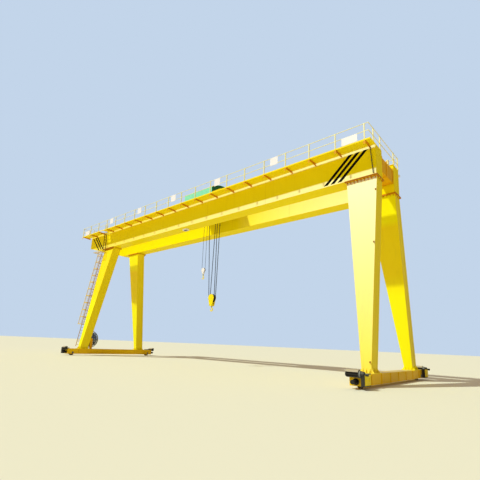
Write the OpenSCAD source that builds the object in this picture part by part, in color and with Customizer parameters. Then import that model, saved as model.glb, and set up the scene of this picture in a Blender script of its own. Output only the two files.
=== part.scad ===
// Double-girder gantry crane with a cantilever at one end and a covered winch trolley.
// Millimetres. X runs along the girders, -Y is the walkway side, Z is up, and Z = 0 is the ground.

/* [Portal] */
// Distance between the centre lines of the two sill beams
span = 30000; // [29000:100:31000]
// Length of girder past the left sill's centre line
cantilever = 3560; // [3300:20:3900]
// Length of girder past the right sill's centre line
right_overhang = 235; // [235:5:300]
// Height of the underside of the girders
girder_z = 11780; // [11000:20:12600]
// Depth of a girder
girder_d = 1920; // [1800:10:2100]
// Width of a girder over its flanges
girder_w = 1100; // [1000:10:1200]
// Clear gap between the two girders
girder_gap = 2050; // [1900:10:2300]
// Rise of the underside at the cantilever's tip
tip_rise = 480; // [300:10:700]
// Length of the rising underside at the cantilever's tip
tip_l = 1960; // [1400:20:2300]

/* [Legs] */
// Width of a leg along X at its head
leg_head_x = 1800; // [1500:10:2000]
// Width of a leg along X at its foot
leg_foot_x = 470; // [400:10:560]
// Width of a leg along Y at its head
leg_head_y = 900; // [800:10:920]
// Width of a leg along Y at its foot
leg_foot_y = 850; // [700:10:900]
// How much further out along Y the foot stands than the head
leg_splay = 1840; // [1500:10:1860]

/* [Sills and wheels] */
// Length of a sill beam past the axle of each of its wheels
sill_end = 525; // [500:5:700]
// Width of a sill beam
sill_w = 620; // [580:10:700]
// Height of a sill beam's top
sill_z = 660; // [640:10:720]
// Height of a sill beam's underside
sill_low_z = 140; // [120:10:180]
// Radius of a travel wheel's tread
wheel_r = 250; // [230:5:270]
// Distance between the two wheels of a sill
wheelbase = 9100; // [8900:20:9300]

/* [Walkway] */
// Height of the walkway's deck
deck_z = 13600; // [13560:10:13640]
// Width of the walkway's deck
deck_w = 890; // [700:10:1000]
// Slit between the deck and the girder
deck_slit = 80; // [60:5:120]
// Distance of the last railing post from the girders' right end
last_post_in = 264; // [240:1:400]
// Height of the handrail over the deck
rail_h = 1000; // [950:10:1100]

/* [Trolley] */
// Place of the trolley's centre along the span
trolley_x = 320; // [-400:20:600]
// Length of the trolley's frame
trolley_l = 4100; // [4000:20:4200]
// Radius of a trolley wheel's tread
trolley_wheel_r = 200; // [180:5:205]

/* [Hooks] */
// Height of the main hook block's sheave axis
main_z = 5600; // [4500:50:8000]
// Height of the auxiliary hook block's sheave axis
aux_z = 8180; // [6000:20:9000]
// Radius of the ropes
rope_r = 14; // [10:1:16]

/* [Hidden] */
$fn = 48;

yellow = "#f2c200";
cream = "#f3ecc0";
mint = "#7fdcae";
dark = "#2b2b2b";
grey = "#7d8488";
white = "#f5f5f2";

seat = 0.3;                         // gap between two pieces that only rest on each other
flange_t = 25;
web_inset = 35;
girder_y = (girder_gap + girder_w) / 2;
girder_top = girder_z + girder_d;
tip_x = -span / 2 - cantilever;
right_x = span / 2 + right_overhang;
sill_x = span / 2;
head_plate_t = 50;
head_plate_in = 100;                // how far a head plate stands out past the leg towards the gap
head_plate_out = 150;
leg_top = girder_z - 2 * head_plate_t;
foot_plate_t = 30;
leg_foot_z = sill_z + foot_plate_t;

posts = 20;
post_past_tip = 327;
first_post_x = tip_x - post_past_tip;
bay = (right_x - last_post_in - first_post_x) / (posts - 1);
deck_left = first_post_x - 113;
deck_right = right_x + 63;
near_web_y = girder_y + girder_w / 2 - web_inset;
deck_in_y = near_web_y + deck_slit;
deck_out_y = deck_in_y + deck_w;
deck_t = 12;
edge_h = 90;
rail_r = 21;
post_w = 60;

sill_l = wheelbase + 2 * sill_end;
motor_z = sill_z + 20;
drive_end_x = sill_x + 660;
x_mid = (deck_left + drive_end_x) / 2;

rail_y = girder_gap / 2 + 255;
rail_foot = 120;
rail_head = 70;
rail_tall = 130;
rail_top = girder_top + rail_tall;
stop_in = 350;
stop_t = 120;
stop_h = 500;
tie_d = 950;
tie_l = 700;
tie_flange = 40;
tie_splice_y = -150;
tie_top = girder_top - 370;

main_x = trolley_x;
aux_x = trolley_x - 1280;
fall_r = 320;
aux_fall_r = 200;
frame_low = rail_top + 2 * trolley_wheel_r + 20;
frame_top = frame_low + 250;
trolley_deck_t = 20;
drum_z = frame_top + trolley_deck_t + 350;
drum_r = 260;
main_rope_x = main_x - 470;         // where the winding falls leave the main drum
main_rope_y = 500;
rope_gap = 1;                       // between a rope's end and the sheave's loop
aux_drum_r = 200;
cover_y = 1720;
cover_wall = 40;
cover_low = frame_top - 200;
cover_eave = cover_low + 670;
cover_rise = 510;
cover_crown = cover_eave + cover_rise;

module placed() {
    translate([-x_mid, 0, 0]) children();
}
// A bar with its length along X
module bar_x(x0, x1, y, z, w, h) {
    translate([x0, y - w / 2, z]) cube([x1 - x0, w, h]);
}
// A flat outline in X and Z made as thick as t about the plane Y = y
module slab_xz(y, t) {
    translate([0, y + t / 2, 0]) rotate([90, 0, 0]) linear_extrude(t) children();
}
// A flat outline in Y and Z made as thick as t from the plane X = x
module slab_yz(x, t) {
    translate([x, 0, 0]) rotate([90, 0, 90]) linear_extrude(t) children();
}
module pipe_x(x0, x1, y, z, r) {
    translate([x0, y, z]) rotate([0, 90, 0]) cylinder(r = r, h = x1 - x0);
}
module pipe_y(y0, y1, x, z, r) {
    translate([x, y0, z]) rotate([-90, 0, 0]) cylinder(r = r, h = y1 - y0);
}
// A straight round bar between two points
module rod(a, b, r) {
    d = b - a;
    translate(a) rotate([0, acos(d[2] / norm(d)), atan2(d[1], d[0])]) cylinder(r = r, h = norm(d), $fn = 24);
}

// Box girder: webs and flanges, with a pad plate where each leg is bolted on
module box_girder() {
    color(yellow) {
        slab_xz(0, girder_w - 2 * web_inset)
            polygon([[tip_x, girder_z + tip_rise], [tip_x + tip_l, girder_z], [right_x, girder_z],
                [right_x, girder_top], [tip_x, girder_top]]);
        slab_xz(0, girder_w)
            polygon([[tip_x, girder_z + tip_rise], [tip_x + tip_l, girder_z], [right_x, girder_z],
                [right_x, girder_z + flange_t], [tip_x + tip_l, girder_z + flange_t],
                [tip_x, girder_z + tip_rise + flange_t]]);
        bar_x(tip_x, right_x, 0, girder_top - flange_t, girder_w, flange_t);
        for (s = [-1, 1])
            translate([s * (sill_x + leg_foot_x / 2 - leg_head_x / 2), 0, girder_z - head_plate_t])
                head_plate();
    }
}
// One of the two plates bolted together between a leg and a girder
module head_plate() {
    translate([-leg_head_x / 2 - 70, -leg_head_y / 2 - head_plate_in, 0])
        cube([leg_head_x + 140, leg_head_y + head_plate_in + head_plate_out, head_plate_t]);
}
module near_girder() {
    placed() mirror([0, 1, 0]) translate([0, girder_y, 0]) box_girder();
}
module far_girder() {
    placed() translate([0, girder_y, 0]) box_girder();
}
module trolley_rail(side) {
    color(grey)
        slab_yz(tip_x + stop_in + stop_t + 10, right_x - tip_x - 2 * (stop_in + stop_t + 10))
            translate([side * rail_y, girder_top])
                polygon([[-rail_foot / 2, 0], [rail_foot / 2, 0], [rail_foot / 2, 16], [16, 30],
                    [16, rail_tall - 42], [rail_head / 2, rail_tall - 32], [rail_head / 2, rail_tall],
                    [-rail_head / 2, rail_tall], [-rail_head / 2, rail_tall - 32], [-16, rail_tall - 42],
                    [-16, 30], [-rail_foot / 2, 16]]);
}
module trolley_rails() {
    placed() {
        trolley_rail(-1);
        trolley_rail(1);
    }
}
// Stops beyond both ends of the rails
module trolley_stops() {
    placed() color(dark)
        for (side = [-1, 1], x = [tip_x + stop_in, right_x - stop_in - stop_t])
            translate([x, side * rail_y - 100, girder_top])
                cube([stop_t, 200, stop_h]);
}
module end_tie(x0, low) {
    flange_y = girder_gap / 2 - 60;
    color(yellow) {
        translate([x0, -girder_gap / 2 - web_inset, tie_top - tie_d + low])
            cube([tie_l, girder_gap + 2 * web_inset, tie_d - low]);
        // flanges of the bolted joints, at both girders and near the middle
        for (y = [-flange_y, tie_splice_y, flange_y])
            translate([x0 - tie_flange, y - 35, tie_top - tie_d + low - tie_flange])
                cube([tie_l + 2 * tie_flange, 70, tie_d - low + 2 * tie_flange]);
    }
}
module end_ties() {
    placed() {
        end_tie(right_x - tie_l - tie_flange - 10, 0);
        end_tie(tip_x + tie_flange + 10, 150);
    }
}

// A deck plate between two joints, with a downturned edge where it is an outer one
module deck_plate(x0, x1, y0, y1) {
    translate([x0 + seat / 2, y0 + (y0 == -deck_out_y ? 0 : seat / 2), deck_z - deck_t])
        cube([x1 - x0 - seat, y1 - y0 - (y0 == -deck_out_y ? 0 : seat / 2), deck_t]);
    if (y0 == -deck_out_y)
        translate([x0 + seat / 2, y0, deck_z - edge_h]) cube([x1 - x0 - seat, 10, edge_h]);
}
// The deck in plates that end over the brackets; four smaller ones frame the hatch
module near_walkway() {
    hatch_y0 = -deck_out_y + 120;
    hatch_y1 = hatch_y0 + hatch_w;
    joint_x0 = min(post_x(2), hatch_x - 40);
    joint_x1 = max(post_x(3), hatch_x + hatch_l + 40);
    placed() color(yellow) {
        deck_plate(deck_left, joint_x0, -deck_out_y, -deck_in_y);
        deck_plate(joint_x1, deck_right, -deck_out_y, -deck_in_y);
        deck_plate(joint_x0, joint_x1, -deck_out_y, hatch_y0 - seat);
        deck_plate(joint_x0, joint_x1, hatch_y1, -deck_in_y);
        deck_plate(joint_x0, hatch_x, hatch_y0, hatch_y1 - seat);
        deck_plate(hatch_x + hatch_l, joint_x1, hatch_y0, hatch_y1 - seat);
    }
}
// Angle arms that carry the deck, one under each post
module walkway_brackets() {
    placed() color(yellow)
        for (i = [0 : posts - 1])
            translate([post_x(i) - 35, 0, 0]) {
                slab_yz(0, 10)
                    polygon([[-deck_out_y + 10, deck_z - deck_t], [-near_web_y, deck_z - deck_t],
                        [-near_web_y, deck_z - 160], [-deck_out_y + 10, deck_z - edge_h]]);
                translate([10, -deck_out_y + 10, deck_z - deck_t - 10])
                    cube([60, deck_w - 10, 10]);
                translate([0, -deck_out_y + 10, deck_z - edge_h - 65])
                    cube([70, 10, 85]);
            }
}
function post_x(i) = first_post_x + i * bay;

// A length of railing along X on the line Y = y
module railing_x(x0, x1, y, xs, base) {
    color(cream) {
        for (x = xs)
            translate([x - post_w / 2, y - post_w / 2, base])
                cube([post_w, post_w, deck_z + rail_h - base]);
        pipe_x(x0, x1, y, deck_z + rail_h - rail_r, rail_r);
        pipe_x(x0, x1, y, deck_z + rail_h / 2, rail_r);
    }
}
// A length of railing along Y on the line X = x
module railing_y(y0, y1, x, ys, base) {
    color(cream) {
        for (i = [0 : len(ys) - 1])
            translate([x - post_w / 2, ys[i] - post_w / 2, base[i]])
                cube([post_w, post_w, deck_z + rail_h - base[i]]);
        pipe_y(y0, y1, x, deck_z + rail_h - rail_r, rail_r);
        pipe_y(y0, y1, x, deck_z + rail_h / 2, rail_r);
    }
}
rail_line_y = deck_out_y - post_w / 2;
far_rail_y = girder_y + girder_w / 2 - post_w / 2;
end_rail_right = right_x - post_w / 2;
end_rail_left = tip_x + post_w / 2;
inner_post_y = girder_gap / 2 + 190;
module near_railing() {
    placed() railing_x(deck_left, end_rail_right + rail_r, -rail_line_y,
        [for (i = [0 : posts - 1]) post_x(i)], deck_z);
}
module far_railing() {
    placed() railing_x(end_rail_left + post_w / 2, end_rail_right - post_w / 2, far_rail_y,
        [for (i = [1 : posts - 1]) post_x(i)], girder_top);
}
module end_railings() {
    placed() {
        railing_y(-rail_line_y + rail_r, far_rail_y, end_rail_right,
            [-deck_in_y - 130, -inner_post_y, inner_post_y, far_rail_y],
            [deck_z, girder_top, girder_top, girder_top]);
        railing_y(-near_web_y + 100, far_rail_y, end_rail_left,
            [-near_web_y + 130, -inner_post_y, inner_post_y, far_rail_y],
            [girder_top, girder_top, girder_top, girder_top]);
        railing_y(-rail_line_y + rail_r, -deck_in_y - 60, deck_left + post_w / 2,
            [-deck_in_y - 90], [deck_z]);
    }
}
board_l = 620;
board_h = 590;
board_t = 8;
end_board_l = 960;
end_board_h = 480;
// White boards hung on the walkway's railing: small ones up high, large ones low at the ends
module railing_boards() {
    placed() color(white) {
        for (i = [3.56, 6.47, 9.4, 12.43, 15.48])
            translate([post_x(i) - board_l / 2, -rail_line_y - rail_r - board_t, deck_z + rail_h - board_h - 10])
                cube([board_l, board_t - seat, board_h]);
        for (i = [0.58, 18.5])
            translate([post_x(i) - end_board_l / 2, -rail_line_y - rail_r - board_t, deck_z + 20])
                cube([end_board_l, board_t - seat, end_board_h]);
    }
}

// Leg at +X and +Y: its outer side is upright, the inner side tapers, and the foot is splayed along Y
module leg() {
    out_x = sill_x + leg_foot_x / 2;
    head_in = girder_y - leg_head_y / 2;
    head_out = girder_y + leg_head_y / 2;
    foot_in = head_in + leg_splay;
    foot_out = foot_in + leg_foot_y;
    foot_y = (foot_in + foot_out) / 2;
    color(yellow) {
        intersection() {
            slab_xz(foot_y, 3 * leg_splay + 2 * leg_head_y)
                polygon([[out_x - leg_head_x, leg_top], [out_x, leg_top], [out_x, leg_foot_z],
                    [out_x - leg_foot_x, leg_foot_z]]);
            slab_yz(out_x - leg_head_x - 10, leg_head_x + 20)
                polygon([[head_in, leg_top], [head_out, leg_top],
                    [foot_out, leg_foot_z], [foot_in, leg_foot_z]]);
        }
        translate([out_x - leg_head_x / 2, girder_y, leg_top]) head_plate();
        translate([sill_x - sill_w / 2 - 80, foot_y - leg_foot_y / 2 - 150, sill_z])
            cube([sill_w + 160, leg_foot_y + 300, foot_plate_t]);
        // stiffening ribs under the head plate and over the foot plate
        for (i = [0 : 8], side = [-1, 1])
            translate([out_x - leg_head_x + 60 + i * (leg_head_x - 130) / 8, girder_y, 0])
                slab_yz(-9, 18)
                    scale([side, 1])
                        polygon([[leg_head_y / 2 - 120, leg_top],
                            [leg_head_y / 2 + (side > 0 ? 130 : 60), leg_top],
                            [leg_head_y / 2 + (side > 0 ? 130 : 60), leg_top - (side > 0 ? 60 : 30)],
                            [leg_head_y / 2 - 120, leg_top - (side > 0 ? 350 : 240)]]);
        for (dy = [-300, 0, 300], side = [-1, 1])
            translate([out_x - leg_head_x / 2, 0, 0])
                slab_xz(girder_y + dy, 18)
                    scale([side, 1])
                        polygon([[leg_head_x / 2 - 60, leg_top], [leg_head_x / 2 + 60, leg_top],
                            [leg_head_x / 2 + 60, leg_top - 40], [leg_head_x / 2 - 60, leg_top - 300]]);
        for (i = [0 : 2], side = [-1, 1])
            translate([sill_x - leg_foot_x / 2 + 60 + i * (leg_foot_x - 120) / 2, foot_y, 0])
                slab_yz(-8, 16)
                    scale([side, 1])
                        polygon([[leg_foot_y / 2 - 60, leg_foot_z], [leg_foot_y / 2 + 140, leg_foot_z],
                            [leg_foot_y / 2 - 60, leg_foot_z + 260]]);
        for (dy = [-370, 0, 370], side = [-1, 1])
            translate([sill_x, 0, 0])
                slab_xz(foot_y + dy, 16)
                    scale([side, 1])
                        polygon([[leg_foot_x / 2 - 60, leg_foot_z], [leg_foot_x / 2 + 140, leg_foot_z],
                            [leg_foot_x / 2 - 60, leg_foot_z + 330]]);
    }
}
module near_right_leg() {
    placed() mirror([0, 1, 0]) leg();
}
module far_right_leg() {
    placed() leg();
}
module near_left_leg() {
    placed() mirror([1, 0, 0]) mirror([0, 1, 0]) leg();
}
module far_left_leg() {
    placed() mirror([1, 0, 0]) leg();
}

wheel_slot_l = 640;
wheel_slot_w = 190;
wheel_flange = 25;
axle_r = 50;
axle_gap = 0.1;
wheel_z = wheel_r + wheel_flange;
rib_pitch = (wheelbase - wheel_slot_l - 460) / 6;
foot_mid_y = girder_y + leg_splay + leg_foot_y / 2 - leg_head_y / 2;
// Sill beam about X = 0, with a pocket and an axle hole for each of its two wheels
module sill_beam() {
    color(yellow)
        difference() {
            union() {
                translate([-sill_w / 2, -sill_l / 2, sill_low_z])
                    cube([sill_w, sill_l, sill_z - sill_low_z]);
                for (i = [-3 : 3], side = [-1, 1])
                    translate([side * (sill_w / 2 + 15) - 15, i * rib_pitch - 8, sill_low_z])
                        cube([30, 16, sill_z - sill_low_z]);
            }
            for (side = [-1, 1]) {
                translate([-wheel_slot_w / 2, side * wheelbase / 2 - wheel_slot_l / 2, 0])
                    cube([wheel_slot_w, wheel_slot_l, wheel_z + wheel_r + wheel_flange + 30]);
                pipe_x(-sill_w, sill_w, side * wheelbase / 2, wheel_z, axle_r + axle_gap);
            }
        }
}
module right_sill_beam() {
    placed() translate([sill_x, 0, 0]) sill_beam();
}
module left_sill_beam() {
    placed() translate([-sill_x, 0, 0]) sill_beam();
}
module travel_wheel() {
    color(dark)
        rotate([0, 90, 0]) {
            cylinder(r = wheel_r, h = 150, center = true);
            for (z = [-75, 51]) translate([0, 0, z]) cylinder(r = wheel_r + wheel_flange, h = 24);
            cylinder(r = 110, h = 176, center = true);
            cylinder(r = axle_r, h = sill_w - 20, center = true);
        }
}
module near_right_wheel() {
    placed() translate([sill_x, -wheelbase / 2, wheel_z]) travel_wheel();
}
module far_right_wheel() {
    placed() translate([sill_x, wheelbase / 2, wheel_z]) travel_wheel();
}
module near_left_wheel() {
    placed() translate([-sill_x, -wheelbase / 2, wheel_z]) travel_wheel();
}
module far_left_wheel() {
    placed() translate([-sill_x, wheelbase / 2, wheel_z]) travel_wheel();
}
// Motor across the sill's end with its gearbox and the gear case beside the wheel, at +X and -Y
module travel_drive() {
    end_y = -sill_l / 2;
    motor_y = end_y - 190;
    color(dark) {
        pipe_x(sill_x - 360, sill_x + 270, motor_y, motor_z, 115);
        pipe_x(sill_x + 270, sill_x + 470, motor_y, motor_z, 130);
        pipe_x(sill_x + 470, drive_end_x, motor_y, motor_z, 60);
    }
    color(yellow) {
        translate([sill_x - 300, end_y - 340, motor_z - 140]) cube([700, 340, 36]);
        translate([sill_x + sill_w / 2 + 45, end_y - 300, sill_low_z + 20]) cube([160, 760, 560]);
    }
}
module travel_drives() {
    placed()
        for (a = [0, 1], b = [0, 1])
            mirror([a, 0, 0]) mirror([0, b, 0]) travel_drive();
}
module sill_buffer() {
    color(dark) {
        pipe_y(-sill_l / 2 - 425, -sill_l / 2, 0, 330, 100);
        pipe_y(-sill_l / 2 - 30, -sill_l / 2, 0, 330, 150);
    }
}
module sill_buffers() {
    placed()
        for (x = [-sill_x, sill_x], b = [0, 1])
            translate([x, 0, 0]) mirror([0, b, 0]) sill_buffer();
}

// Everything on the left leg's outer side leans with the leg
lean = leg_splay / (leg_top - leg_foot_z);
ladder_x = -sill_x - leg_foot_x / 2 - 250;
ladder_w = 450;
ladder_low = 900;
platform_z = 11300;
platform_out_y = 2900;
function leg_edge_y(z) = -(girder_y + leg_head_y / 2) - (leg_top - z) * lean;
function ladder_y(z) = leg_edge_y(z) + 100;
hatch_x = -sill_x - 235;
hatch_l = 760;
hatch_w = deck_w - 170;
upper_ladder_x = hatch_x + hatch_l / 2 - 125;
upper_ladder_y = -deck_in_y - 110;

// One stile of the leaning ladder, or an upright of its cage, from z0 to z1
module leaning_bar(x, y_off, z0, z1, w, t) {
    slab_yz(x - t / 2, t)
        polygon([[ladder_y(z0) + y_off - w / 2, z0], [ladder_y(z0) + y_off + w / 2, z0],
            [ladder_y(z1) + y_off + w / 2, z1], [ladder_y(z1) + y_off - w / 2, z1]]);
}
module access_ladder() {
    rung_pitch = 300;
    placed() color(yellow) {
        for (side = [-1, 1])
            leaning_bar(ladder_x, side * ladder_w / 2, ladder_low, platform_z - 20, 60, 24);
        for (z = [ladder_low + 150 : rung_pitch : platform_z - 120])
            pipe_y(ladder_y(z) - ladder_w / 2, ladder_y(z) + ladder_w / 2, ladder_x, z, 14, $fn = 24);
        for (z = [ladder_low + 600 : 2400 : platform_z - 600]) {
            leaning_bar(ladder_x + 27, 0, z, z + 50, ladder_w + 60, 30);
            for (dy = [-40, 180])
                translate([ladder_x + 20, ladder_y(z) + dy, z]) cube([230, 30, 40]);
        }
        for (side = [-1, 1])
            translate([upper_ladder_x + side * ladder_w / 2 - 12, upper_ladder_y - 30, platform_z])
                cube([24, 60, deck_z + 900 - platform_z]);
        for (z = [platform_z + 280 : rung_pitch : deck_z - 60])
            pipe_x(upper_ladder_x - ladder_w / 2, upper_ladder_x + ladder_w / 2, upper_ladder_y, z, 14, $fn = 24);
    }
}
cage_low = 3200;
cage_high = platform_z - 60;
cage_depth = 700;
cage_half = 350;
hoop_pitch = 780;
hoop_h = 60;
// A flat side of the cage, leaning with the ladder
module cage_side(side) {
    link_w = cage_half - 6 - ladder_w / 2 - 30;
    color(yellow) {
        for (i = [1, 2])
            leaning_bar(ladder_x - cage_depth * i / 2 + 25, side * cage_half, cage_low, cage_high, 8, 40);
        for (z = [cage_low : hoop_pitch : cage_high - hoop_h]) {
            leaning_bar(ladder_x + 6 - cage_depth / 2, side * cage_half, z, z + hoop_h, 12, cage_depth + 12);
            leaning_bar(ladder_x - 2, side * (cage_half - 4 - link_w / 2), z + 5, z + hoop_h - 5, link_w, 24);
        }
    }
}
module cage_near_side() {
    placed() cage_side(-1);
}
module cage_far_side() {
    placed() cage_side(1);
}
module cage_back() {
    placed() color(yellow) {
        for (i = [-1 : 1])
            leaning_bar(ladder_x - cage_depth - 6, i * cage_half * 0.8, cage_low, cage_high, 40, 12);
        for (z = [cage_low : hoop_pitch : cage_high - hoop_h])
            leaning_bar(ladder_x - cage_depth - 6, 0, z, z + hoop_h, 2 * cage_half + 12, 12);
    }
}
// Platform between the two ladders, around the leg's corner
module rest_platform() {
    leg_face_x = -sill_x - leg_foot_x / 2;
    out_x = ladder_x - cage_depth - 12;
    placed() color(yellow)
        difference() {
            union() {
                translate([out_x, -platform_out_y, platform_z - 40])
                    cube([leg_face_x - out_x, platform_out_y + ladder_y(platform_z) + 400, 40]);
                translate([out_x, -platform_out_y, platform_z - 40])
                    cube([upper_ladder_x + ladder_w / 2 + 60 - out_x,
                        platform_out_y + leg_edge_y(platform_z - 40), 40]);
            }
            translate([out_x + 40, ladder_y(platform_z) - 310, platform_z - 50])
                cube([cage_depth + 30, 620, 60]);
        }
}

reel_r = 900;
reel_x = -sill_x - sill_w / 2 - 340;
reel_y = -2370;
reel_z = 1660;
module cable_reel() {
    placed() color(dark) {
        translate([reel_x - 60, reel_y, reel_z]) rotate([0, 90, 0])
            for (z = [0, 100]) translate([0, 0, z])
                difference() {
                    cylinder(r = reel_r, h = 20);
                    translate([0, 0, -1]) cylinder(r = reel_r - 60, h = 22);
                }
        for (a = [0 : 45 : 315])
            translate([reel_x - 60, reel_y, reel_z]) rotate([a, 0, 0])
                translate([2, -20, 200]) cube([116, 40, reel_r - 230]);
        translate([reel_x - 60, reel_y, reel_z]) rotate([0, 90, 0]) cylinder(r = 230, h = 120);
    }
}
module reel_stand() {
    placed() {
        color("#b5651d")
            translate([reel_x + 60, reel_y - 90, reel_z - 110])
                cube([-sill_x - sill_w / 2 - reel_x - 60, 180, 220]);
        color("#b5651d")
            translate([-sill_x - sill_w / 2 - 30, reel_y - 140, sill_low_z + 60])
                cube([30, 280, reel_z - sill_low_z]);
    }
}
module girder_lamp() {
    placed() color(white)
        translate([-2150, -girder_y - 180, girder_z - 90]) cube([500, 360, 90 - seat]);
}

// Frame of the trolley: side beams over the rails, cross beams and a deck with rope slots
trolley_wheel_x = 1350;
cross_w = 200;
main_slot = [main_x - 580, main_x + 500, 560];
aux_slot = [aux_x - 330, aux_x + 330, 200];
// A plate of the trolley's deck, bolted on the beams
module trolley_plate(x0, x1, y0, y1) {
    translate([x0 + seat / 2, y0, frame_top + seat]) cube([x1 - x0 - seat, y1 - y0, trolley_deck_t - seat]);
}
module trolley_frame() {
    x0 = trolley_x - trolley_l / 2;
    x1 = trolley_x + trolley_l / 2;
    bumper_z = girder_top + stop_h - 120;
    side_w = 260;
    deck_y = cover_y - cover_wall;
    placed() color(yellow) {
        for (side = [-1, 1]) {
            bar_x(x0, x1, side * rail_y, frame_low, side_w, frame_top - frame_low);
            for (x = [trolley_x - trolley_wheel_x, trolley_x + trolley_wheel_x], dy = [-1, 1])
                translate([x - 150, side * rail_y + dy * 100 - 10, rail_top + 110])
                    cube([300, 20, frame_low - rail_top - 110]);
            for (x = [x0, x1 - 60])
                translate([x, side * rail_y - 100, girder_top + stop_h - 220])
                    cube([60, 200, frame_low - girder_top - stop_h + 220]);
            pipe_x(x0 - 150, x0, side * rail_y, bumper_z, 80);
            pipe_x(x1, x1 + 150, side * rail_y, bumper_z, 80);
        }
        // cross beams between the side beams
        for (x = [x0, aux_slot[1] + 50, main_slot[1] + 200, x1 - cross_w])
            translate([x, -rail_y + side_w / 2 + seat, frame_low])
                cube([cross_w, 2 * rail_y - side_w - 2 * seat, frame_top - frame_low]);
        trolley_plate(x0 - 400, aux_slot[0], -deck_y, deck_y);
        trolley_plate(aux_slot[1], main_slot[0], -deck_y, deck_y);
        trolley_plate(main_slot[1], x1, -deck_y, deck_y);
        for (side = [0, 1])
            mirror([0, side, 0]) {
                trolley_plate(aux_slot[0], aux_slot[1], aux_slot[2], deck_y);
                trolley_plate(main_slot[0], main_slot[1], main_slot[2], deck_y);
            }
    }
}
module trolley_wheels() {
    placed() color(dark)
        for (x = [trolley_x - trolley_wheel_x, trolley_x + trolley_wheel_x], side = [-1, 1])
            translate([x, side * rail_y, rail_top + trolley_wheel_r]) rotate([90, 0, 0]) {
                difference() {
                    cylinder(r = trolley_wheel_r + 20, h = 130, center = true);
                    difference() {
                        cylinder(r = trolley_wheel_r + 30, h = 80, center = true);
                        cylinder(r = trolley_wheel_r - seat, h = 82, center = true);
                    }
                }
                cylinder(r = 45, h = 180, center = true);
            }
}
// Rain cover with an arched roof, open underneath
module trolley_cover() {
    x0 = trolley_x - trolley_l / 2 - 440;
    cover_l = 3500;
    rise = cover_crown - cover_eave;
    arch_r = (cover_y * cover_y + rise * rise) / (2 * rise);
    placed() color(mint)
        difference() {
            slab_yz(x0, cover_l) cover_outline(cover_y, cover_crown, arch_r);
            slab_yz(x0 + cover_wall, cover_l - 2 * cover_wall)
                cover_outline(cover_y - cover_wall, cover_crown - cover_wall, arch_r - cover_wall);
            translate([x0 + cover_wall - 5, -cover_y + cover_wall, cover_low - 10])
                cube([cover_l, 2 * (cover_y - cover_wall), frame_top + trolley_deck_t + 10 - cover_low]);
        }
}
module cover_outline(half, crown, r) {
    intersection() {
        translate([-half, cover_low - 5]) square([2 * half, crown - cover_low + 10]);
        translate([0, crown - r]) circle(r = r, $fn = 96);
        translate([-half, cover_low]) square([2 * half, crown - cover_low]);
    }
}
main_drum_x = main_rope_x - drum_r - rope_r;
module main_drum() {
    placed() {
        color(grey) {
            pipe_y(-700, 700, main_drum_x, drum_z, drum_r - seat);
            for (y = [-760, 700]) pipe_y(y, y + 60, main_drum_x, drum_z, drum_r + 45);
        }
        color(yellow)
            for (y = [-840, 760])
                translate([main_drum_x - 140, y, frame_top + trolley_deck_t]) cube([280, 80, 420]);
    }
}
aux_drum_x = aux_x - aux_fall_r - aux_drum_r - rope_r;
module aux_drum() {
    placed() {
        color(grey) {
            pipe_y(-450, 450, aux_drum_x, drum_z, aux_drum_r - seat);
            for (y = [-500, 450]) pipe_y(y, y + 50, aux_drum_x, drum_z, aux_drum_r + 50);
        }
        color(yellow)
            for (y = [-580, 500])
                translate([aux_drum_x - 120, y, frame_top + trolley_deck_t]) cube([240, 80, 420]);
        color(yellow)
            translate([aux_x + aux_fall_r - 40, 0, frame_top + trolley_deck_t])
                difference() {
                    translate([0, -260, 0]) cube([80, 520, drum_z + 80 - frame_top - trolley_deck_t]);
                    translate([-1, -200, -1]) cube([82, 400, drum_z + 1 - frame_top - trolley_deck_t]);
                }
    }
}
// Upper sheave over the right-hand falls, with the rope's loop over it
module equaliser_sheave() {
    eq_x = main_x + 350;
    beam_y = main_slot[2] + 140;
    placed() {
        color(grey) {
            pipe_x(eq_x - 25, eq_x + 25, 0, drum_z, 200 - rope_r - seat);
            pipe_x(eq_x - 120 + seat, eq_x + 120 - seat, 0, drum_z, 40);
            translate([eq_x, 0, drum_z]) rotate([90, 0, 90])
                rotate_extrude(angle = 180) translate([200, 0]) circle(r = rope_r, $fn = 24);
        }
        color(yellow)
            for (x = [eq_x - 150, eq_x + 120])
                translate([x, -beam_y, drum_z - 80]) cube([30, 2 * beam_y, 160]);
        color(yellow)
            for (y = [-beam_y, beam_y - 60], x = [eq_x - 150, eq_x + 120])
                translate([x, y, frame_top + trolley_deck_t])
                    cube([30, 60, drum_z - frame_top - trolley_deck_t - 80 - seat]);
    }
}
main_sheave_y = 80;
module main_ropes() {
    placed() color(dark)
        for (side = [-1, 1]) {
            rod([main_rope_x, side * main_rope_y, drum_z],
                [main_x - fall_r, side * main_sheave_y, main_z + rope_gap], rope_r);
            rod([main_x + 350, side * 200, drum_z - seat],
                [main_x + fall_r, side * main_sheave_y, main_z + rope_gap], rope_r);
        }
}
module aux_ropes() {
    placed() color(dark) {
        rod([aux_x - aux_fall_r, 0, drum_z - seat], [aux_x - aux_fall_r, 0, aux_z + seat], rope_r);
        rod([aux_x + aux_fall_r, 0, drum_z - seat], [aux_x + aux_fall_r, 0, aux_z + seat], rope_r);
    }
}
// A grooved sheave with its axis along Y and the rope's loop under it
module rope_sheave(r, w) {
    rotate([90, 0, 0]) {
        cylinder(r = r - rope_r - seat, h = w, center = true);
        for (z = [-w / 2, w / 2 - 8]) translate([0, 0, z]) cylinder(r = r + rope_r, h = 8);
    }
    rotate([90, 180, 0]) rotate_extrude(angle = 180) translate([r, 0]) circle(r = rope_r, $fn = 24);
}
module main_sheaves() {
    placed() color(dark)
        translate([main_x, 0, main_z]) {
            for (side = [-1, 1]) translate([0, side * main_sheave_y, 0]) rope_sheave(fall_r, 60);
            rotate([90, 0, 0]) cylinder(r = 50, h = 256, center = true);
        }
}
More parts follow.
